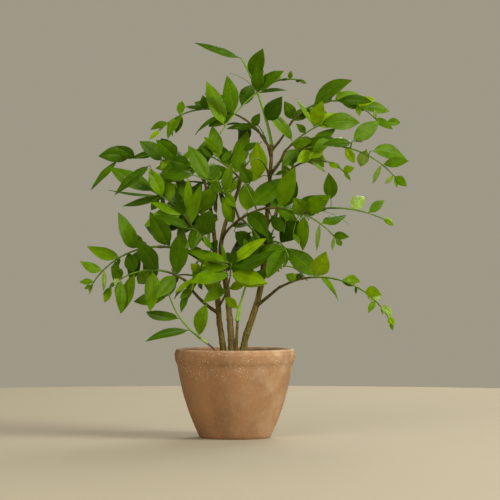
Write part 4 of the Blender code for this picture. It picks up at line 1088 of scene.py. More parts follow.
class Grower:
    """Grows the limbs and the leaves.

    The limbs follow the part's own rule. The leaves that show lie as the photograph has them, and the others
    follow the part's rule too, with more of them on each twig.
    """

    gap = 0.0003
    leaf_clearance = 0.0006
    stem_step, bough_step, twig_step, fine_step = 0.016, 0.011, 0.020, 0.012
    stem_sides, bough_sides, twig_sides = 8, 6, 3
    flare_width, flare_height = 1.28, 0.010
    seat_room = 1.02  # of the parent's radius, to where a limb leaves it
    least_lean = 0.3  # the cosine under which a limb's start isn't drawn out any farther
    side_twig_at, side_twig_length, side_twig_biggest = 0.34, 0.5, 0.85
    side_twig_turns, side_twig_end_turn, side_twig_drop = (38, 52), 0.7, 12
    side_twig_turn_seed, side_twig_leaf_seed = 31, 7
    first_leaf_at, last_leaf_at = 0.14, 0.93
    leaf_width = 0.44
    leaf_arch = 24.0
    leaf_looks_up = 30.0
    large_leaf = 0.028
    large_outline = ((0.0, 0.0), (0.30, 0.97), (0.66, 0.70), (1.0, 0.0))
    small_outline = ((0.0, 0.0), (0.42, 1.0), (1.0, 0.0))
    leaf_thickness, rib_thickness = 0.014, 0.0002
    stalk_radius, stalk_depth = 0.0005, 0.00075
    leaf_bounds = (0.03, 0.99)
    leaf_root_sink = 0.3  # of the twig's radius
    tip_leaf_opening = 12.0
    size_power = 1.6
    shift_spread, opening_spread, swing_spread, twist_spread = 0.3, 20, 28, 38
    size_range, hang_range, width_range = (0.84, 1.08), (0.4, 1.6), (0.88, 1.12)
    seen_tries = 14
    seen_step = 0.001  # between the points of a limb that leaves that show stand on
    seen_depths = (-0.006, 0.002)  # from a limb to where a leaf on a stalk starts
    seen_widths = (0.88, 1.06)
    seen_leans, steepest_lean = (3, 30), 0.6  # degrees, and the least cosine
    seen_forward = 0.6  # of the leaves lean to the viewer
    seen_arches = (14, 38)
    least_bow_turn, most_bow = 0.5, 0.12
    touch_room = 0.0002
    out_of_box = 9  # how many touches it counts as when a leaf's tip stands past the front of the part's box
    stalk_rise = 0.12  # how much higher a stalk's middle is, against how far it runs
    fold_bulge = 0.035  # what the raised sides add to a leaf's bulge
    edge_on = 0.75  # the least that a leaf that shows looks as wide as it is
    seen_width = 1.02  # how much wider a leaf is than it looks, as its edges blur into the sky
    stalk_from = 4.0  # pixels between a leaf and its limb past which it has a stalk of its own
    stalk_radii = (0.00055, 0.00048)
    more_leaves = 2.4  # times as many stations on a twig as in the part's source
    hidden_tries = 24
    hidden_share = 0.94  # of a leaf that has to lie behind the leaves that show
    hidden_margin = 1.2  # pixels by which those leaves count as wider
    cover_shares = np.linspace(0.06, 0.94, 12)  # of a leaf's length, at which its width is taken
    cover_width = 0.9
    behind = 0.001

    def __init__(self) -> None:
        """Starts with nothing grown."""
        self.front = np.full((round(VIEW.width), round(VIEW.width)), np.inf)
        self.stalks: list[Limb] = []
        self.limbs: dict[str, Limb] = {}
        self.twigs: list[Spray] = []
        self.leaves: list[Leaf] = []
        self.trees: dict[str, BVHTree] = {}

    def stem(self, stem: Stem) -> None:
        """Grows a stem that starts just above the soil and flares there."""
        route = smooth_route(np.array(stem.places), self.stem_step)
        route[:, 2] += self.gap * np.linspace(1, 0, len(route))
        extra = route[0] + (route[1] - route[0]) * self.flare_height / np.linalg.norm(route[1] - route[0])
        route = np.vstack([route[:1], extra[None], route[1:]])
        radii = np.linspace(stem.base_radius, stem.tip_radius, len(route))
        radii[0] *= self.flare_width
        self.limbs[stem.name] = Limb(stem.name, route, radii)
        self.trees[stem.name] = self.tube_tree(
            self.limbs[stem.name], self.stem_sides, level=SOIL_TOP + self.gap)

    def seat(self, parent: Limb, at: float, direction: Array) -> tuple[Array, Array]:
        """A point just off the parent's surface, and the way that surface faces, where a limb leaves it."""
        middle = parent.place(at)
        along = parent.direction(at)
        if at >= 1.0:
            return middle + along * self.gap, along
        outward = across(direction, along)
        return middle + outward * (parent.radius(at) * self.seat_room + self.gap), outward

    def bend(self, bend: Bend, step: float, sides: int) -> Limb:
        """Grows a limb that leaves its parent in one direction and bends evenly into another.

        Args:
            bend: What to grow.
            step: How far apart its points are.
            sides: How many sides it has where it keeps its space free.

        Returns:
            The limb, which the grower keeps too.
        """
        parent = self.limbs[bend.parent]
        first, last = towards(*bend.start), towards(*bend.end)
        count = max(3, round(bend.length / step))
        steps = [turned_towards(first, last, (number + 0.5) / count) for number in range(count)]
        root = parent.place(bend.at)
        route = np.vstack([np.zeros(3), np.cumsum(np.array(steps) * bend.length / count, axis=0)]) + root
        plane = None
        if not parent.mass:
            plane = self.seat(parent, bend.at, first)
            away = float((plane[0] - root) @ plane[1]) / max(self.least_lean, float(first @ plane[1]))
            route[0] = root + first * away
        radii = np.linspace(bend.base_radius, bend.tip_radius, len(route))
        limb = Limb(bend.name, route, radii, root=root)
        self.limbs[bend.name] = limb
        self.trees[bend.name] = self.tube_tree(limb, sides, plane=plane)
        return limb

    def tube_tree(self, limb: Limb, sides: int, plane: tuple[Array, Array] | None = None,
                  level: float | None = None) -> BVHTree:
        """The space that a limb takes: regular rings along it, the first one cut to a plane or a level.

        Args:
            limb: The limb.
            sides: How many corners a ring has.
            plane: A point and a normal that the first ring lies square to.
            level: The height that the first ring lies at.

        Returns:
            A tree that finds what it touches.
        """
        alongs = unit(np.gradient(limb.points, axis=0))
        rows = []
        reference = FIRST_CORNER
        turns = 2 * math.pi * np.arange(sides) / sides
        for point, along, radius in zip(limb.points, alongs, limb.radii):
            sideways = across(reference, along)
            other = np.cross(along, sideways)
            rows.append(point + radius * (np.cos(turns)[:, None] * sideways + np.sin(turns)[:, None] * other))
            reference = sideways
        along = unit(limb.points[1] - limb.points[0])
        if plane is not None:
            point, outward = plane
            shift = ((point - rows[0]) @ outward) / float(along @ outward)
            rows[0] = rows[0] + shift[:, None] * along
        if level is not None:
            rows[0] = rows[0] + ((level - rows[0][:, 2]) / along[2])[:, None] * along
        faces = [tuple(row) for row in grid_faces(len(rows), sides, caps=False).tolist()]
        last = (len(rows) - 1) * sides
        faces += [tuple(reversed(range(sides))), tuple(range(last, last + sides))]
        return self.tree((np.vstack(rows), faces))

    @staticmethod
    def tree(shape: Shape) -> BVHTree:
        """The shape as a tree that finds what it touches."""
        return BVHTree.FromPolygons([tuple(corner) for corner in shape[0]], shape[1])

    def side_twig(self, spray: Spray) -> Spray:
        """The side twig of a forked spray, on the side that its seed picks."""
        dice = random.Random(spray.seed * self.side_twig_turn_seed)
        turn = dice.uniform(*self.side_twig_turns) * (1 if spray.seed % 2 else -1)
        start = (spray.start[0] + turn, spray.start[1] - self.side_twig_drop)
        end = (spray.end[0] + turn * self.side_twig_end_turn, spray.end[1])
        return Spray(
            spray.name + "_side", spray.name, self.side_twig_at, start, end,
            spray.length * self.side_twig_length, leaves=spray.leaves // 2,
            biggest=spray.biggest * self.side_twig_biggest, smallest=spray.smallest,
            opening=spray.opening, faces=spray.faces, droop=spray.droop,
            seed=spray.seed * self.side_twig_leaf_seed, tone=spray.tone)

    def placed_leaf(self, spray: Spray, station: float, side: int, dice: random.Random) -> Leaf:
        """Draws one placing of the leaf that stands at a station of a twig.

        Args:
            spray: The twig.
            station: How far along it the leaf should stand, or 1 for the leaf at its tip.
            side: 1 or -1, the side of the twig.
            dice: Where the draws come from.

        Returns:
            The leaf.
        """
        limb = self.limbs[spray.name]
        shift = dice.uniform(-self.shift_spread, self.shift_spread) / spray.leaves
        size = dice.uniform(*self.size_range)
        opening = spray.opening + dice.uniform(-self.opening_spread, self.opening_spread)
        swing = math.radians(dice.uniform(-self.swing_spread, self.swing_spread))
        hang = spray.droop * dice.uniform(*self.hang_range)
        twist = math.radians(dice.uniform(-self.twist_spread, self.twist_spread))
        width = self.leaf_width * dice.uniform(*self.width_range)
        tip = station >= 1.0
        lowest, highest = self.leaf_bounds
        at = 1.0 if tip else min(highest, max(lowest, station + shift))
        along = limb.direction(at)
        looks = across(towards(spray.faces, self.leaf_looks_up), along)
        beside = np.cross(along, looks) * side
        opening = math.radians(self.tip_leaf_opening if tip else opening)
        direction = along * math.cos(opening) + beside * math.sin(opening)
        direction = direction * math.cos(swing) + looks * math.sin(swing)
        direction = unit(direction + np.array([0.0, 0.0, -hang]))
        length = (spray.smallest + (spray.biggest - spray.smallest) * (1 - at ** self.size_power)) * size
        if tip and spray.end_leaf:
            direction = towards(*spray.end_leaf[:2])
            length = spray.end_leaf[2]
        face = across(looks, direction)
        face = face * math.cos(twist) + np.cross(direction, face) * math.sin(twist)
        root = limb.place(at) - direction * limb.radius(at) * self.leaf_root_sink
        return Leaf(root, direction, face, length, width, spray.name, at)

    def seen_leaf(self, limb: Limb, seen: Seen, dice: random.Random) -> tuple[Leaf, Array]:
        """Draws how a leaf that shows in the photograph lies in depth.

        It starts at its limb's depth where the limb passes nearest. One that looks narrow for its length is
        turned about its rib: the cosine of the turn is how wide it looks over how wide it is. One that looks
        broad leans to the viewer or away: the cosine of the lean is how long it looks over how long it is.
        The bulge of its middle comes from its arch, as far as the turn shows that, and for the rest from a
        rib that is curved to one side.

        Args:
            limb: The limb on its fine curve.
            seen: How the leaf shows.
            dice: Where the draws come from.

        Returns:
            The leaf, and the point on the limb that it comes from.
        """
        apart = np.linalg.norm(VIEW.pixels(limb.points) - np.array(seen.root), axis=1)
        nearest = int(apart.argmin())
        base = limb.points[nearest]
        root = base
        if seen.before or apart[nearest] >= self.stalk_from:
            root = VIEW.spot(seen.root, base[1] + dice.uniform(*self.seen_depths) - seen.before)
        flat = VIEW.spot(seen.tip, root[1]) - root
        shown = float(np.linalg.norm(flat))
        wide = seen.width * self.seen_width * VIEW.scale(root[1])
        kind = self.leaf_width * dice.uniform(*self.seen_widths)
        kind = min(kind, wide / shown / self.edge_on)
        lean = math.radians(dice.uniform(*self.seen_leans))
        if wide > kind * shown:
            lean = max(lean, math.acos(max(self.steepest_lean, kind * shown / wide)))
        depth = -1 if dice.random() < self.seen_forward else 1
        if seen.lean is not None:
            lean, depth = math.radians(abs(seen.lean)), math.copysign(1, seen.lean)
        chord = unit(flat) * math.cos(lean) + np.array([0.0, depth * math.sin(lean), 0.0])
        length = shown / math.cos(lean)
        turn = math.acos(min(1.0, wide / length / kind))
        facing = across(np.array([0.0, -1.0, 0.0]), chord)
        above = np.cross(chord, facing)
        above = above if above[2] >= 0 else -above
        face = facing * math.cos(turn) + above * math.sin(turn)
        arch = math.radians(dice.uniform(*self.seen_arches))
        aside = seen.bow - self.fold_bulge - arch / 8 * math.sin(turn)
        aside = aside / max(self.least_bow_turn, math.cos(turn))
        sideways = np.cross(chord, face)
        aside = max(-self.most_bow, min(self.most_bow, aside)) * (1 if sideways @ above >= 0 else -1)
        half = arch / 2
        direction = chord * math.cos(half) + face * math.sin(half)
        upward = face * math.cos(half) - chord * math.sin(half)
        width = max(kind, wide / length)
        leaf = Leaf(root, direction, upward, length * half / math.sin(half), width, limb.name,
                    float(limb.reach()[nearest]), seen.tone, arch, aside)
        return leaf, base

    def grow_seen(self, taken: list[tuple[str, BVHTree]]) -> None:
        """Grows the leaves that show in the photograph, each by the draw that touches the fewest others.

        Args:
            taken: The leaves so far, each with its mass's name. The new ones are added.
        """
        for name, leaves in SEEN.items():
            limb = self.limbs[name].finer(self.seen_step)
            mass = self.limbs[name].mass
            others = [tree for other, tree in self.trees.items() if other != name]
            dice = random.Random(name)
            for seen in leaves:
                draws = []
                for _ in range(self.seen_tries):
                    leaf, base = self.seen_leaf(limb, seen, dice)
                    blade = self.tree(leaf.shape(self.touch_room, blade_only=True))
                    hits = sum(bool(blade.overlap(tree)) for tree in others)
                    hits += sum(bool(blade.overlap(tree)) for _, tree in taken)
                    tip = leaf.along_rib(np.array([0.7, 1.0]))
                    hits += self.out_of_box * bool(tip[:, 1].min() < CAD_BOX[0].y)
                    draws.append((hits, len(draws), leaf, base))
                    if not hits:
                        break
                _, _, leaf, base = min(draws, key=lambda draw: draw[:2])
                taken.append((mass, self.tree(leaf.shape())))
                self.leaves.append(leaf)
                self.hide_behind(leaf)
                if leaf.root is not base:
                    rise = self.stalk_rise * abs(leaf.root - base).sum()
                    middle = (base + leaf.root) / 2 + np.array([0.0, 0.0, rise])
                    radii = np.linspace(*self.stalk_radii, 3)
                    self.stalks.append(Limb(name, np.array([base, middle, leaf.root]), radii))

    def hide_behind(self, leaf: Leaf) -> None:
        """Notes how near a leaf lies to the viewer at each pixel that it covers."""
        ribs = leaf.along_rib(np.linspace(0, 1, len(self.cover_shares)))
        pixels, wide = VIEW.pixels(ribs), leaf.width * leaf.length / VIEW.scale(leaf.root[1]) / 2
        down, right = np.mgrid[0:self.front.shape[0], 0:self.front.shape[1]]
        low, high = pixels.min(axis=0) - wide, pixels.max(axis=0) + wide
        window = (slice(max(0, int(low[1])), int(high[1]) + 1), slice(max(0, int(low[0])), int(high[0]) + 1))
        spots = np.stack([right[window], down[window]], axis=-1)
        apart = np.linalg.norm(spots[:, :, None, :] - pixels, axis=-1)
        nearest = apart.argmin(axis=-1)
        half = wide * np.sin(np.pi * self.cover_shares) * self.cover_width + self.hidden_margin
        covered = apart.min(axis=-1) < half[nearest]
        part = self.front[window]
        part[covered] = np.minimum(part[covered], ribs[nearest[covered], 1])

    def hidden(self, leaf: Leaf) -> float:
        """The share of a leaf that lies behind the leaves that show."""
        corners = leaf.shape()[0]
        spread = np.vstack([corners, (corners[:-1] + corners[1:]) / 2, corners.mean(axis=0)[None]])
        columns, rows = np.clip(np.round(VIEW.pixels(spread)).astype(int), 0, self.front.shape[0] - 1).T
        return float(np.mean(spread[:, 1] > self.front[rows, columns] + self.behind))

    def grow_leaves(self, spray: Spray, taken: list[tuple[str, BVHTree]], clear_of: list[BVHTree]) -> None:
        """Grows a twig's other leaves, which the ones that show hide from the front.

        One that would touch a limb or another leaf, or that would stand out against the sky, is drawn again,
        and after some tries skipped.

        Args:
            spray: The twig.
            taken: The leaves so far, each with its mass's name. The new ones are added.
            clear_of: What no leaf may touch.
        """
        mass = self.limbs[spray.name].mass
        dice = random.Random(spray.seed)
        count = round(spray.leaves * self.more_leaves)
        stations = list(np.linspace(self.first_leaf_at, self.last_leaf_at, count - 1)) + [1.0]
        side = 1 if dice.random() < 0.5 else -1
        for station in stations:
            side = -side
            for _ in range(self.hidden_tries):
                leaf = self.placed_leaf(spray, station, side, dice)
                if self.hidden(leaf) < self.hidden_share:
                    continue
                whole = self.tree(leaf.shape(self.leaf_clearance))
                blade = self.tree(leaf.shape(self.leaf_clearance, blade_only=True))
                if any(whole.overlap(other) for other in clear_of):
                    continue
                if any((blade if owner == mass else whole).overlap(other) for owner, other in taken):
                    continue
                taken.append((mass, self.tree(leaf.shape())))
                self.leaves.append(leaf)
                break

    def grow(self) -> None:
        """Grows everything, in the order of the tables."""
        for stem in STEMS:
            self.stem(stem)
        for bough in BOUGHS:
            self.bend(bough, self.bough_step, self.bough_sides)
        for spray in SPRAYS:
            self.twigs += [spray, self.side_twig(spray)] if spray.forked else [spray]
        for twig in self.twigs:
            owner = self.limbs[twig.parent].mass or twig.name
            self.bend(twig, self.twig_step, self.twig_sides).mass = owner
        for twig in FINE_TWIGS:
            self.bend(twig, self.fine_step, self.twig_sides).mass = self.limbs[twig.parent].mass
        graph = bpy.context.evaluated_depsgraph_get()
        fixed = [BVHTree.FromObject(frame["nodes"][name], graph) for name in ("pot", "potting_soil")]
        taken: list[tuple[str, BVHTree]] = []
        self.grow_seen(taken)
        for mass in dict.fromkeys(self.limbs[twig.name].mass for twig in self.twigs):
            clear_of = fixed + [tree for name, tree in self.trees.items() if self.limbs[name].mass != mass]
            for twig in self.twigs:
                if self.limbs[twig.name].mass == mass:
                    self.grow_leaves(twig, taken, clear_of)


# The pieces


@dataclass(frozen=True)
class Pot:
    """The clay pot: turned by hand, with a rounded rim over a low band and slight unevenness all over."""

    base_radius: float = 0.044
    wall: float = 0.0065
    floor: float = 0.009
    bulge: float = 0.0238  # four times as far as the wall swells past a straight cone
    band_height: float = 0.019
    band_proud: float = 0.0013
    band_slope: float = 0.0095
    band_swell: float = 0.0013
    rim_rounding: float = 0.0048
    foot_rounding: float = 0.0015
    band_middle: float = 0.45  # of the band's height under the top
    ring_spacing: float = 0.0031
    ring_height: float = 0.00005
    ring_wander: float = 0.05  # how long the waves are that shift the rings up and down
    lump_size: float = 0.035
    lump_height: float = 0.00022
    worn_size: float = 0.012
    worn_from: float = 1.1  # the height of those waves past which the rim is worn
    worn_depth: float = 0.0009
    worn_reach: float = 0.012  # down from the rim
    foot_even: tuple[float, float] = (0.001, 0.006)  # no unevenness up to the first, all from the second
    rows: int = 96
    columns: int = 160
    clay: ClayFinish = field(default_factory=ClayFinish)

    def wall_radius(self, height: Array, top: float, rim: float) -> Array:
        """The outer radius: a cone, a parabola in height, a smooth step out to the band, and its bulge."""
        share = height / top
        cone = self.base_radius + (rim - self.band_proud - self.base_radius) * share
        step = smooth_step(height, top - self.band_height - self.band_slope / 2,
                           top - self.band_height + self.band_slope / 2)
        off_middle = (height - top + self.band_middle * self.band_height) / (
            (1 - self.band_middle) * self.band_height)
        swell = self.band_swell * np.clip(1 - off_middle ** 2, 0, 1)
        return cone + self.bulge * share * (1 - share) + self.band_proud * step + swell

    def inner_radius(self, height: Array, top: float, rim: float) -> Array:
        """The inner radius: the outer one less the wall's thickness, and with no band."""
        band = smooth_step(height, top - self.band_height - self.band_slope / 2, top)
        return self.wall_radius(height, top, rim) - self.wall - (self.band_proud + self.band_swell) * band

    def profile(self, top: float, rim: float) -> Array:
        """The pot's section.

        It goes from the middle of the underside out to a quarter circle at the foot, up the outer wall, over
        the half ellipse of the rim, down the inner wall and in to the middle of the floor.

        Args:
            top: The pot's height.
            rim: Its radius at the rim.

        Returns:
            Radius and height of each point.
        """
        turn = np.radians(np.linspace(-90, 0, 5))
        foot = np.column_stack([
            self.base_radius - self.foot_rounding + self.foot_rounding * np.cos(turn),
            self.foot_rounding + self.foot_rounding * np.sin(turn)])
        under = np.column_stack([np.linspace(0, foot[0, 0], 8)[:-1], np.zeros(7)])
        heights = np.linspace(self.foot_rounding * 1.6, top - self.rim_rounding * 1.2, self.rows)
        outer = np.column_stack([self.wall_radius(heights, top, rim), heights])
        turn = np.radians(np.linspace(0, 180, 15))
        half = (self.wall + self.band_proud * 0.3) / 2
        over = np.column_stack([
            rim - half + half * np.cos(turn), top - self.rim_rounding + self.rim_rounding * np.sin(turn)])
        down = np.linspace(top - self.rim_rounding * 1.6, self.floor, 40)
        inner = np.column_stack([self.inner_radius(down, top, rim), down])
        middle = np.column_stack([np.linspace(inner[-1, 0], 0, 8)[1:], np.full(7, self.floor)])
        return np.vstack([under, foot, outer, over, inner, middle])

    def unevenness(self, corners: Array, top: float) -> Array:
        """How far each corner lies off the true section, in metres.

        Fine rings from the turning are a sine of height whose phase wanders round the pot, the wall is lumpy
        by long waves, and the rim has a few worn dips where short waves are deepest.
        """
        height = corners[:, 2]
        phase = 2.0 * waves(corners, self.ring_wander, seed=3)
        rings = np.sin(height * (2 * np.pi / self.ring_spacing) + phase)
        lumps = waves(corners, self.lump_size, seed=5)
        rim = smooth_step(height, top - self.worn_reach, top)
        worn = np.clip(waves(corners, self.worn_size, seed=8) - self.worn_from, 0.0, 1.0) * rim
        wall = smooth_step(height, *self.foot_even)
        return wall * (self.ring_height * rings + self.lump_height * lumps - self.worn_depth * worn)

    def make(self) -> bpy.types.Object:
        """Makes the pot to the size that the frame gives, and puts it in place of the part's pot."""
        _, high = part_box("pot")
        shell = turned(self.profile(high.z, high.x), self.columns)
        out = shell.corners * np.array([1.0, 1.0, 0.0])
        reach = np.linalg.norm(out, axis=1, keepdims=True)
        way = np.divide(out, reach, out=np.zeros_like(out), where=reach > 1e-6)
        shell.corners += way * self.unevenness(shell.corners, high.z)[:, None]
        piece = shell.piece("clay_pot", [self.clay.material()])
        return seated(piece, "terracotta", "pot")


@dataclass(frozen=True)
class Soil:
    """The potting soil: a lumpy surface just under the rim, with loose crumbs and bits of bark on it."""

    pot: Pot = field(default_factory=Pot)
    depth: float = 0.014
    edge_gap: float = 0.0004
    lumps: float = 0.0013
    crown: float = 0.003  # how far the edge lies under the middle
    side_top: float = 0.006  # how far under the middle the plain side ends
    bump_starts: tuple[float, float] = (0.005, 0.0035)  # under the middle, where bumps start and are full
    bump_sizes: tuple[float, float] = (0.016, 0.0055)
    crumbs: int = 520
    crumb_sizes: tuple[float, float] = (0.0007, 0.0024)
    crumb_shapes: tuple[float, float] = (0.7, 1.25)
    crumb_squash: tuple[float, float] = (0.6, 1.0)
    crumb_spread: float = 0.97  # of the bed's radius
    crumb_sink: float = 0.0002
    crumb_seed: int = 17
    pale_bits: int = 26
    rows: int = 44
    columns: int = 120

    def edge(self, height: Array) -> Array:
        """The soil's radius at a height: a hair less than the pot's inner radius."""
        _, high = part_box("pot")
        return self.pot.inner_radius(height, high.z, high.x) - self.edge_gap

    def bed(self, radius: float) -> Shell:
        """The bed: rings whose heights are a sum of long and short waves, over a plain side and floor."""
        rings = np.linspace(0, radius, self.rows)[::-1]
        top = np.column_stack([rings, SOIL_TOP - self.crown * (rings / radius) ** 2])
        heights = np.linspace(SOIL_TOP - self.depth, SOIL_TOP - self.side_top, 3)
        side = np.column_stack([self.edge(heights), heights])
        shell = turned(np.vstack([[0.0, SOIL_TOP - self.depth], side, top]), self.columns)
        share = smooth_step(shell.corners[:, 2], *(SOIL_TOP - start for start in self.bump_starts))
        long, short = (waves(shell.corners, size, seed) for seed, size in enumerate(self.bump_sizes, 11))
        bumps = 0.6 * long + 0.5 * short
        shell.corners[:, 2] += share * self.lumps * (bumps - 0.4)
        return shell

    def bits(self, radius: float) -> Shell:
        """The crumbs: small cubes whose corners are moved in or out, each stretched and turned by chance."""
        dice = np.random.default_rng(self.crumb_seed)
        count = self.crumbs
        cube = np.array([[x, y, z] for z in (-1, 1) for y in (-1, 1) for x in (-1, 1)], float)
        lump = cube * 0.62 * dice.uniform(*self.crumb_shapes, (count, 8, 3))
        size = dice.uniform(*self.crumb_sizes, (count, 1, 1))
        size = size * dice.uniform(*self.crumb_squash, (count, 1, 3))
        axes = np.linalg.qr(dice.normal(size=(count, 3, 3)))[0]
        away = radius * self.crumb_spread * np.sqrt(dice.uniform(0, 1, count))
        around = dice.uniform(0, 2 * np.pi, count)
        height = SOIL_TOP - self.crown * (away / radius) ** 2 - self.crumb_sink
        middle = np.column_stack([away * np.cos(around), away * np.sin(around), height])
        corners = (lump * size) @ axes + middle[:, None, :]
        faces = np.array([[0, 2, 3, 1], [4, 5, 7, 6], [0, 1, 5, 4], [2, 6, 7, 3], [0, 4, 6, 2], [1, 3, 7, 5]])
        mirrored = np.linalg.det(axes) < 0
        all_faces = np.where(mirrored[:, None, None], faces[:, ::-1], faces)
        all_faces = all_faces + 8 * np.arange(count)[:, None, None]
        looks = np.where(np.arange(count) < self.pale_bits, 2, dice.integers(0, 2, count))
        return Shell(corners.reshape(-1, 3), all_faces.reshape(-1, 4), np.repeat(looks, 6))

    def make(self) -> bpy.types.Object:
        """Makes the soil to the size that the frame gives, and puts it in place of the part's soil."""
        radius = float(self.edge(np.array([SOIL_TOP - self.crown]))[0])
        bed = self.bed(radius)
        bits = self.bits(radius)
        finishes = [
            SoilFinish(), SoilFinish("soil_bark_bits", (0.045, 0.026, 0.014), (0.12, 0.075, 0.042)),
            SoilFinish("soil_pale_bits", (0.30, 0.28, 0.24), (0.52, 0.50, 0.45))]
        shell = Shell.joined([bed, bits])
        piece = shell.piece("soil_bed", [finish.material() for finish in finishes])
        return seated(piece, "soil", "potting_soil")


@dataclass(frozen=True)
class Skin:
    """The surface of a limb: rings of corners that stand off its axis by the limb's radius and relief."""

    corners: int
    step: float
    seed: int  # of its first limb, and one more for each next limb
    ridges: float = 0.0  # height of the long ridges, against the radius
    node_spacing: float = 0.02
    node_height: float = 0.0  # of the ring at each node, against the radius
    node_width: float = 0.0011
    node_count: int = 60
    ridge_sizes: tuple[float, float] = (1.7, 0.7)  # in grain
    collar: float = 0.0  # how much wider the limb is where it comes out of its parent
    collar_reach: float = 0.004
    grain_round: float = 700.0  # grain to a metre
    grain_along: float = 60.0
    grain_shift: float = 3.7  # from one limb to the next
    upright: float = 0.7  # the sine of a climb from which up is no help to line the rings up
    bent: float = 0.25  # the sine of a bend past which the rings line up with its axis

    def wrap(self, limb: Limb, number: int, looks: Array | int) -> Shell:
        """Wraps one limb.

        A corner is its ring's middle plus the radius times the cosine and sine of its angle, along two
        directions that are square to the limb. The radius is the limb's own, times one plus the collar, which
        dies away as an exponential from the limb's root, plus the ridges, which are waves in space stretched
        along the limb, plus the nodes, which are narrow bell curves of the distance to the nearest node.

        Args:
            limb: The limb, on its fine curve.
            number: Its place among the limbs with this skin, which picks the relief and the nodes.
            looks: The number of the look, for the limb or for each ring.

        Returns:
            The closed shell, with its grain.
        """
        points, radii, seed = limb.points, limb.radii, self.seed + number
        alongs = unit(np.gradient(points, axis=0))
        bend = np.cross(alongs[0], alongs[-1])
        plain = FIRST_CORNER if abs(alongs[0, 2]) > self.upright else np.array([0.0, 0.0, 1.0])
        reference = bend if np.linalg.norm(bend) > self.bent else plain
        sideways = across(reference, alongs)
        other = np.cross(alongs, sideways)
        steps = np.linalg.norm(np.diff(points, axis=0), axis=1)
        run = np.concatenate([[0.0], np.cumsum(steps)])
        turns = 2 * np.pi * np.arange(self.corners) / self.corners
        ring = np.stack([np.cos(turns), np.sin(turns)], axis=-1)
        grain = np.concatenate([
            np.broadcast_to(ring, (len(points), self.corners, 2)) * radii[:, None, None] * self.grain_round,
            np.broadcast_to(run[:, None, None] * self.grain_along, (len(points), self.corners, 1))], axis=-1)
        grain[..., 2] += seed * self.grain_shift
        dice = np.random.default_rng(seed)
        spots = np.cumsum(dice.uniform(0.6, 1.4, self.node_count)) * self.node_spacing
        near = np.abs(run[:, None] - spots[None, :]).min(axis=1)
        node = self.node_height * np.exp(-(near / self.node_width) ** 2)
        wide = radii * (1 + self.collar * np.exp(-run / self.collar_reach) + node)
        long, short = (waves(grain, size, picked) for picked, size in enumerate(self.ridge_sizes, seed))
        relief = self.ridges * (0.65 * long + 0.45 * short)
        reach = wide[:, None] * (1 + relief)
        corners = (points[:, None, :] + reach[..., None] * (
            ring[None, :, :1] * sideways[:, None, :] + ring[None, :, 1:] * other[:, None, :]))
        ends = np.stack([points[0], points[-1] + alongs[-1] * radii[-1] * 0.5])
        extra = np.vstack([grain.reshape(-1, 3), grain[0].mean(axis=0), grain[-1].mean(axis=0)])
        faces = grid_faces(len(points), self.corners)
        if isinstance(looks, int):
            face_looks = np.full(len(faces), looks)
        else:
            face_looks = np.concatenate([
                np.repeat(looks[:-1], self.corners), np.full(self.corners, looks[0]),
                np.full(self.corners, looks[-1])])
        return Shell(np.vstack([corners.reshape(-1, 3), ends]), faces, face_looks, extra)


@dataclass(frozen=True)
class Wood:
    """The woody stems and boughs under their bark, and the green shoot that leaves the soil on the left."""

    stem_skin: Skin = Skin(26, 0.0009, 40, ridges=0.10, node_spacing=0.021, node_height=0.13)
    bough_skin: Skin = Skin(16, 0.0009, 60, ridges=0.07, node_spacing=0.014, node_height=0.16, collar=0.5)
    shoot_skin: Skin = Skin(14, 0.0008, 90, ridges=0.03)
    barks: tuple[BarkFinish, ...] = (BARK, BOUGH_BARK, PAINTED_LIGHT_BARK)
    # stems that take the lighter copy of the bark: painted light against the shade of the leaves
    pale: tuple[str, ...] = ("middle_stem",)
    sunk: float = 0.004  # how far the stems go on into the soil
    foot_width: float = 1.1
    sheath_from: float = 0.74  # of the way along the shoot, where its pale sheath starts
    sheath_edge: float = 0.03  # of the way along the shoot, over which it widens
    sheath_swell: float = 0.45
    shoot_width: float = 0.85

    def rooted(self, limb: Limb) -> Limb:
        """The limb, with one more point down in the soil."""
        down = limb.points[0] - unit(limb.points[1] - limb.points[0]) * self.sunk
        radii = np.concatenate([limb.radii[:1] * self.foot_width, limb.radii])
        return Limb(limb.name, np.vstack([down, limb.points]), radii)

    def bark(self, grower: Grower) -> bpy.types.Object:
        """Makes the bark of all the woody limbs as one piece."""
        shells = []
        stems = [stem.name for stem in STEMS if stem.name != "low_shoot"]
        boughs = [bough.name for bough in BOUGHS]
        for number, name in enumerate(stems):
            limb = self.rooted(grower.limbs[name]).finer(self.stem_skin.step)
            # painted light: the middle stem takes the lighter copy of the bark
            bark = PAINTED_LIGHT_BARK if name in self.pale else BARK
            shells.append(self.stem_skin.wrap(limb, number, self.barks.index(bark)))
        for number, name in enumerate(boughs):
            limb = grower.limbs[name].finer(self.bough_skin.step)
            shells.append(self.bough_skin.wrap(limb, number, self.barks.index(BOUGH_BARK)))
        piece = Shell.joined(shells).piece("bark", [bark.material() for bark in self.barks])
        return seated(piece, "bark", *stems, *boughs)

    def shoot(self, grower: Grower) -> bpy.types.Object:
        """Makes the shoot: dark and old at its foot, then a pale green sheath that is wider than it."""
        limb = self.rooted(grower.limbs["low_shoot"]).finer(self.shoot_skin.step)
        share = limb.reach()
        sheath = smooth_step(share, self.sheath_from, self.sheath_from + self.sheath_edge)
        limb.radii = limb.radii * (self.shoot_width + self.sheath_swell * sheath * (1.3 - share))
        looks = (share > self.sheath_from).astype(int)
        shell = self.shoot_skin.wrap(limb, 0, looks)
        piece = shell.piece("low_green_shoot", [OLD_SHOOT.material(), SHEATH.material()])
        return seated(piece, "green_bark", "low_shoot")


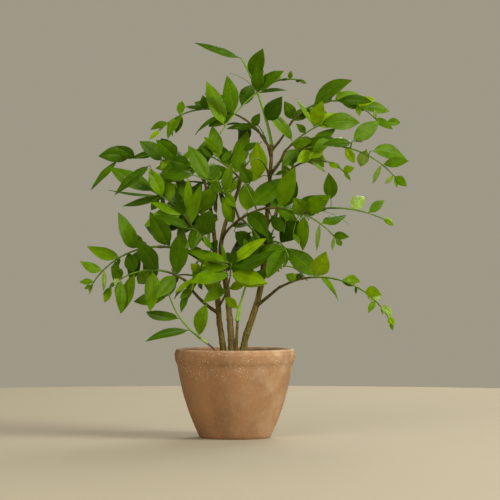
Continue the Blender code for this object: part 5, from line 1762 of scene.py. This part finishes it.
@dataclass(frozen=True)
class Twigs:
    """The leafy twigs: olive bark near the wood, then green, and paler where a sheath covers them."""

    skin: Skin = Skin(8, 0.0022, 200, ridges=0.02, node_spacing=0.013, node_height=0.22, node_width=0.0016,
                      collar=0.35, collar_reach=0.003)
    fine_skin: Skin = Skin(6, 0.0022, 300)
    barks: tuple[BarkFinish, ...] = (TWIG_BARK, GREEN_BARK, SHEATH, FRESH_BARK)
    woody: float = 0.24  # of the way along a twig, where it isn't green from its root on
    stout: float = 1.22  # how much thicker the bark makes a twig
    green: tuple[str, ...] = ("top_spray", "inner_spray", "low_shoot_spray", "top_hanging_twig")
    sheathed: tuple[str, ...] = ("inner_spray",)
    sheath_to: float = 0.30
    sheath_swell: float = 0.7

    def make(self, grower: Grower) -> bpy.types.Object:
        """Makes all the twigs as one piece, which with the leaves takes the place of the masses."""
        shells = []
        woody_look, green_look, sheath_look, fresh_look = range(len(self.barks))
        for number, twig in enumerate(grower.twigs):
            limb = grower.limbs[twig.name].finer(self.skin.step)
            share = limb.reach()
            limb.radii = limb.radii * self.stout
            looks = np.where(share < self.woody, woody_look, green_look)
            if twig.name in self.green:
                looks = np.full(len(share), fresh_look)
            if twig.name in self.sheathed:
                looks = np.where(share < self.sheath_to, sheath_look, looks)
                covered = smooth_step(share, self.sheath_to, 0.5 * self.sheath_to)
                limb.radii = limb.radii * (1 + self.sheath_swell * covered)
            shells.append(self.skin.wrap(limb, number, looks))
        for number, limb in enumerate([grower.limbs[twig.name] for twig in FINE_TWIGS] + grower.stalks):
            look = fresh_look if limb.name in self.green else green_look
            shells.append(self.fine_skin.wrap(limb.finer(self.fine_skin.step), number, look))
        piece = Shell.joined(shells).piece("leafy_twigs", [bark.material() for bark in self.barks])
        masses = list(dict.fromkeys(grower.limbs[twig.name].mass for twig in grower.twigs))
        return seated(piece, "green_bark", *masses)


@dataclass(frozen=True)
class Blades:
    """All the leaves: pointed blades, folded along a sunk rib, arched, a little wavy and on short stalks."""

    stations: int = 9
    first_station: float = 0.012  # of the blade's length
    last_station: float = 0.985
    crowding: float = 1.05  # the power by which the stations crowd towards the root
    leafy_from: float = 0.10  # of the blade's length, where the stalk has turned into blade
    stalk: float = 0.055  # of a leaf's length
    stalk_radius: float = 0.00048
    thickness: float = 0.00030
    rim_angle: float = 75.0
    wide_blade: float = 0.010  # half the width at which the veins are at their full height
    rib_depth: float = 0.00022
    rib_fade: float = 0.004  # half the blade's width under which its rib is less deep
    rib_ridge: float = 1.6  # of that depth, under the blade
    edge_shift: float = 1.3  # radians by which the two edges' waves are off, one way and the other
    arches: tuple[float, float] = (12, 40)
    folds: tuple[float, float] = (2, 15)
    curls: tuple[float, float] = (0.03, 0.26)
    twists: tuple[float, float] = (-26, 26)
    seen_twist: float = 0.4  # of a twist, on a leaf that shows
    waviness: tuple[float, float] = (0.0, 0.10)
    wave_counts: tuple[float, float] = (1.0, 2.2)
    rise: float = 0.84
    fall: float = 1.12
    upper: tuple[float, ...] = (-1.0, -0.58, -0.07, 0.0, 0.07, 0.58)
    lower: tuple[float, ...] = (1.0, 0.58, 0.0, -0.58)
    root_step: float = 0.002
    tone_seed: int = 7
    first_seed: int = 500
    young_length: float = 0.021
    young_share: float = 0.7  # of leaves that short
    lighter_from: float = 0.8  # of the way along a twig, where short leaves are one step lighter
    lighter_length: float = 0.032
    tone_shares: tuple[float, ...] = (0.22, 0.56, 0.22)  # one step darker, its twig's own and one lighter
    tones: tuple[tuple[Colour, Colour], ...] = (
        ((0.056, 0.132, 0.001), (0.14, 0.27, 0.001)),
        ((0.090, 0.196, 0.001), (0.23, 0.40, 0.001)),
        ((0.143, 0.280, 0.001), (0.34, 0.52, 0.001)),
        ((0.250, 0.420, 0.001), (0.52, 0.66, 0.001)),
        ((0.300, 0.450, 0.080), (0.52, 0.64, 0.120)),
    )

    def outline(self, share: Array) -> Array:
        """Half the blade's width against its widest: a power of the way from the root times one from the tip.

        The widest place is about two fifths of the way along, and the tip's power makes the sides hollow
        towards it.
        """
        peak = self.rise / (self.rise + self.fall)
        level = peak ** self.rise * (1 - peak) ** self.fall
        share = np.clip(share, 0, 1)
        return share ** self.rise * (1 - share) ** self.fall / level

    def shells(self, leaves: list[Leaf], roots: Array, seed: int) -> Shell:
        """The closed shells of some leaves, worked out together.

        A leaf's middle line bends down by an even arc. Each section across it is a loop of points: across the
        upper face and back under the lower one. A point's height is that of two planes that rise from the
        rib, less a parabola that curls the sides down, plus a wave along the edge that grows with the square
        of the distance from the rib. The lower face lies under it by a thickness that dies away as a parabola
        to the edge. Near the root all this turns smoothly into the circle of the stalk.

        Args:
            leaves: The leaves.
            roots: Where each one stands, on its twig's smooth axis.
            seed: Picks the bends and waves.

        Returns:
            The shells as one, with their places on the blade and three looks: upper face, lower face and rib.
        """
        dice = np.random.default_rng(seed)
        count = len(leaves)
        length = np.array([leaf.length for leaf in leaves])[:, None, None]
        half_width = np.array([leaf.width * leaf.length / 2 for leaf in leaves])[:, None, None]
        forward = np.array([leaf.direction for leaf in leaves])[:, None, :]
        up = np.array([leaf.face for leaf in leaves])[:, None, :]
        settled = np.array([leaf.arch for leaf in leaves])
        bow = np.array([leaf.bow for leaf in leaves])[:, None, None]
        arch = np.where(settled > 0, settled, np.radians(dice.uniform(*self.arches, count)))[:, None, None]
        fold = np.tan(np.radians(dice.uniform(*self.folds, count)))[:, None, None]
        curl = dice.uniform(*self.curls, count)[:, None, None]
        twist = np.radians(dice.uniform(*self.twists, count)) * np.where(settled > 0, self.seen_twist, 1.0)
        twist = twist[:, None, None]
        wave = dice.uniform(*self.waviness, count)[:, None, None]
        phase = dice.uniform(0, 2 * np.pi, count)[:, None, None]
        turns = dice.uniform(*self.wave_counts, count)[:, None, None]

        spread = np.linspace(self.first_station, self.last_station, self.stations) ** self.crowding
        along = self.stalk + (1 - self.stalk) * spread
        share = np.concatenate([[0.0, 0.5 * self.stalk], along])[None, :, None]
        blade = np.clip((share - self.stalk) / (1 - self.stalk), 0, 1)
        wide = half_width * self.outline(blade)
        leafy = smooth_step(blade, 0.0, self.leafy_from)

        across_at = np.array(self.upper + self.lower)[None, None, :]
        is_upper = (np.arange(across_at.size) < len(self.upper))[None, None, :]
        aside = np.abs(across_at)
        sunk = self.rib_depth * (across_at == 0) * np.clip(wide / self.rib_fade, 0, 1)
        angle = 2 * np.pi * turns * blade + phase + self.edge_shift * np.sign(across_at)
        rippled = wave * aside ** 2 * np.sin(angle)
        upper_height = wide * (fold * aside - curl * aside ** 2 + rippled) - sunk
        rounding = np.sqrt(np.clip(1 - aside ** 2, 0, 1))
        depth = self.thickness * (1 - aside ** 2) + self.rib_ridge * self.rib_depth * (aside < 0.05)
        blade_height = np.where(is_upper, upper_height, upper_height - depth)
        stalk_height = np.where(is_upper, 1, -1) * self.stalk_radius * rounding
        height = leafy * blade_height + (1 - leafy) * stalk_height
        sideways_by = across_at * (leafy * wide + (1 - leafy) * self.stalk_radius)

        bent = arch * share
        middle = (roots[:, None, :] + forward * np.sin(bent) / arch * length
                  - up * (1 - np.cos(bent)) / arch * length)
        upward = up * np.cos(bent) + forward * np.sin(bent)
        side = np.cross(forward, up)
        middle = middle + side * (4 * bow * share * (1 - share) * length)
        turned_by = twist * blade
        side_here = side * np.cos(turned_by) + upward * np.sin(turned_by)
        up_here = upward * np.cos(turned_by) - side * np.sin(turned_by)
        corners = (middle[:, :, None, :] + sideways_by[..., None] * side_here[:, :, None, :]
                   + height[..., None] * up_here[:, :, None, :])

        tip_bent = arch[:, 0]
        tip = (roots + forward[:, 0] * np.sin(tip_bent) / tip_bent * length[:, 0]
               - up[:, 0] * (1 - np.cos(tip_bent)) / tip_bent * length[:, 0])
        columns, rows = across_at.size, share.size
        flat = corners.reshape(count, -1, 3)
        whole = np.concatenate([flat, roots[:, None, :], tip[:, None, :]], axis=1)
        places = np.stack(np.broadcast_arrays(across_at * 0.5 + 0.5, wide / self.wide_blade), axis=-1)
        ends = np.broadcast_to([[0.5, 0.0], [0.5, 0.0]], (count, 2, 2))
        places = np.concatenate([places.reshape(count, -1, 2), ends], axis=1).reshape(-1, 2)

        faces = grid_faces(rows, columns)[:, ::-1]
        faces = np.where(faces[:, :1] == faces[:, 1:2], np.roll(faces, -1, axis=1), faces)
        column = np.tile(np.arange(columns), rows + 1)
        middle_column = len(self.upper) // 2
        rib = (column == middle_column - 1) | (column == middle_column)
        under = column >= len(self.upper)
        looks = np.where(rib, 2, np.where(under, 1, 0))
        every = faces[None] + (whole.shape[1] * np.arange(count))[:, None, None]
        return Shell(whole.reshape(-1, 3), every.reshape(-1, 4), np.tile(looks, count), places)

    def finishes(self, tone: Tone) -> list[bpy.types.Material]:
        """The looks of one tone: its upper face, its paler and duller lower face, and its rib."""
        body, glow = self.tones[tone.value]
        name = tone.name.lower()
        grey = 0.30 * sum(body)
        under = tuple(0.78 * part + 0.22 * (grey + 0.02) for part in body)
        rib = tuple(min(1.0, 1.16 * part + 0.004) for part in body)
        return [
            LeafFinish(f"leaf_{name}", body, glow).material(),
            LeafFinish(f"leaf_{name}_under", under, glow, roughness=0.5).material(),
            LeafFinish(f"leaf_{name}_rib", rib, glow, veins=0, vein_depth=0.0).material()]

    def tone_of(self, leaf: Leaf, spray: Spray, dice: random.Random) -> Tone:
        """The tone of a leaf: its spray's own, now and then one step off it, and younger near a long tip."""
        if leaf.length < self.young_length:
            return YOUNG if dice.random() < self.young_share else BRIGHT
        step = dice.choices((-1, 0, 1), self.tone_shares)[0]
        if leaf.at > self.lighter_from and leaf.length < self.lighter_length:
            step += 1
        return Tone(max(0, min(BRIGHT.value, spray.tone.value + step)))

    def make(self, grower: Grower) -> list[bpy.types.Object]:
        """Makes the leaves, one piece for each tone.

        Args:
            grower: What grew them.

        Returns:
            The pieces.
        """
        sprays = {twig.name: twig for twig in grower.twigs}
        finer = {name: grower.limbs[name].finer(self.root_step) for name in sprays}
        dice = random.Random(self.tone_seed)
        dealt: dict[Tone, list[Leaf]] = {tone: [] for tone in Tone}
        for leaf in grower.leaves:
            dealt[leaf.tone or self.tone_of(leaf, sprays[leaf.twig], dice)].append(leaf)
        pieces = []
        for tone, leaves in dealt.items():
            roots = np.array([
                leaf.root if leaf.tone else
                leaf.root + finer[leaf.twig].place(leaf.at) - grower.limbs[leaf.twig].place(leaf.at)
                for leaf in leaves])
            shell = self.shells(leaves, roots, self.first_seed + tone.value)
            piece = shell.piece(f"leaves_{tone.name.lower()}", self.finishes(tone), edge=self.rim_angle)
            LOG.info("%s: %d leaves", piece.name, len(leaves))
            pieces.append(seated(piece, "foliage"))
        return pieces


def seated(piece: bpy.types.Object, slot: str, *nodes: str) -> bpy.types.Object:
    """Sets a finished piece into the frame.

    Args:
        piece: The piece.
        slot: The record's material slot for the piece; not used.
        nodes: The part's nodes that it stands for, if any.

    Returns:
        The piece.
    """
    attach(piece, "root")
    if nodes:
        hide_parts(*nodes)
    LOG.info("%s: %d faces for %d nodes", piece.name, len(piece.data.polygons), len(nodes))
    return piece


@dataclass(frozen=True)
class Studio:
    """A pale round floor, soft lights and the level camera that looks at the plant's front."""

    floor_radius: float = 1.25
    floor_depth: float = 0.012
    floor_columns: int = 96
    floor: PlainFinish = PlainFinish("floor_paint", (0.38, 0.33, 0.235), 0.9)
    sky: Colour = (0.42, 0.385, 0.300)
    sky_light: float = 0.55  # how strongly the room lights the plant
    sky_shown: float = 0.82  # how bright it looks
    sensor: float = 36.0
    target: tuple[float, float, float] = (0.0, 0.0, 0.25)
    # name, place, width, power and colour of each light
    lights: tuple[tuple[str, tuple[float, float, float], float, float, Colour], ...] = (
        ("key", (1.9, -0.9, 1.5), 1.2, 66.0, (1.0, 0.97, 0.90)),
        ("fill", (-0.9, -2.1, 1.2), 1.8, 34.0, (1.0, 0.98, 0.90)),
        ("back", (0.5, 1.7, 1.6), 1.4, 34.0, (1.0, 0.98, 0.92)),
    )

    def lay_floor(self) -> None:
        """Lays a flat disc under the pot."""
        radius, low = self.floor_radius, -self.floor_depth
        profile = np.array([[0.0, low], [radius, low], [radius, 0.0], [0.0, 0.0]])
        floor = turned(profile, self.floor_columns).piece("floor", [self.floor.material()], smooth=False)

    def hang_lights(self) -> None:
        """Hangs the square lights, each aimed at the middle of the plant, and lights the room evenly."""
        for name, place, width, power, colour in self.lights:
            lamp = bpy.data.lights.new(name, "AREA")
            lamp.size = width
            lamp.energy = power
            lamp.color = colour
            made = bpy.data.objects.new(name, lamp)
            made.location = place
            aim = Vector(self.target) - Vector(place)
            made.rotation_euler = aim.to_track_quat("-Z", "Y").to_euler()
            bpy.context.scene.collection.objects.link(made)
        world = bpy.data.worlds.new("room")
        world.use_nodes = True
        tree = world.node_tree
        room = tree.nodes["Background"]
        room.inputs["Color"].default_value = (*self.sky, 1.0)
        seen = tree.nodes.new("ShaderNodeLightPath")
        strength = tree.nodes.new("ShaderNodeMapRange")
        strength.inputs["To Min"].default_value = self.sky_light
        strength.inputs["To Max"].default_value = self.sky_shown
        tree.links.new(seen.outputs["Is Camera Ray"], strength.inputs["Value"])
        tree.links.new(strength.outputs["Result"], room.inputs["Strength"])
        bpy.context.scene.world = world

    def set_camera(self) -> None:
        """Sets the camera level, square to the plant's front."""
        camera = bpy.data.cameras.new("camera")
        camera.sensor_width = self.sensor
        camera.lens = VIEW.reach / VIEW.width * self.sensor
        made = bpy.data.objects.new("camera", camera)
        made.location = VIEW.place
        made.rotation_euler = (math.radians(90), 0.0, 0.0)
        bpy.context.scene.collection.objects.link(made)
        bpy.context.scene.camera = made

    def make(self) -> None:
        """Sets up the floor, the lights, the camera and how light becomes colour."""
        self.lay_floor()
        self.hang_lights()
        self.set_camera()
        bpy.context.scene.view_settings.view_transform = "Standard"


def main() -> None:
    """Builds the plant in its pot, then the studio round it."""
    logging.basicConfig(level=logging.INFO, format="%(message)s")
    grower = Grower()
    grower.grow()
    LOG.info("grown: %d limbs, %d leaves", len(grower.limbs), len(grower.leaves))
    Pot().make()
    Soil().make()
    wood = Wood()
    wood.bark(grower)
    wood.shoot(grower)
    Twigs().make(grower)
    Blades().make(grower)
    Studio().make()


if __name__ == "__main__":
    main()
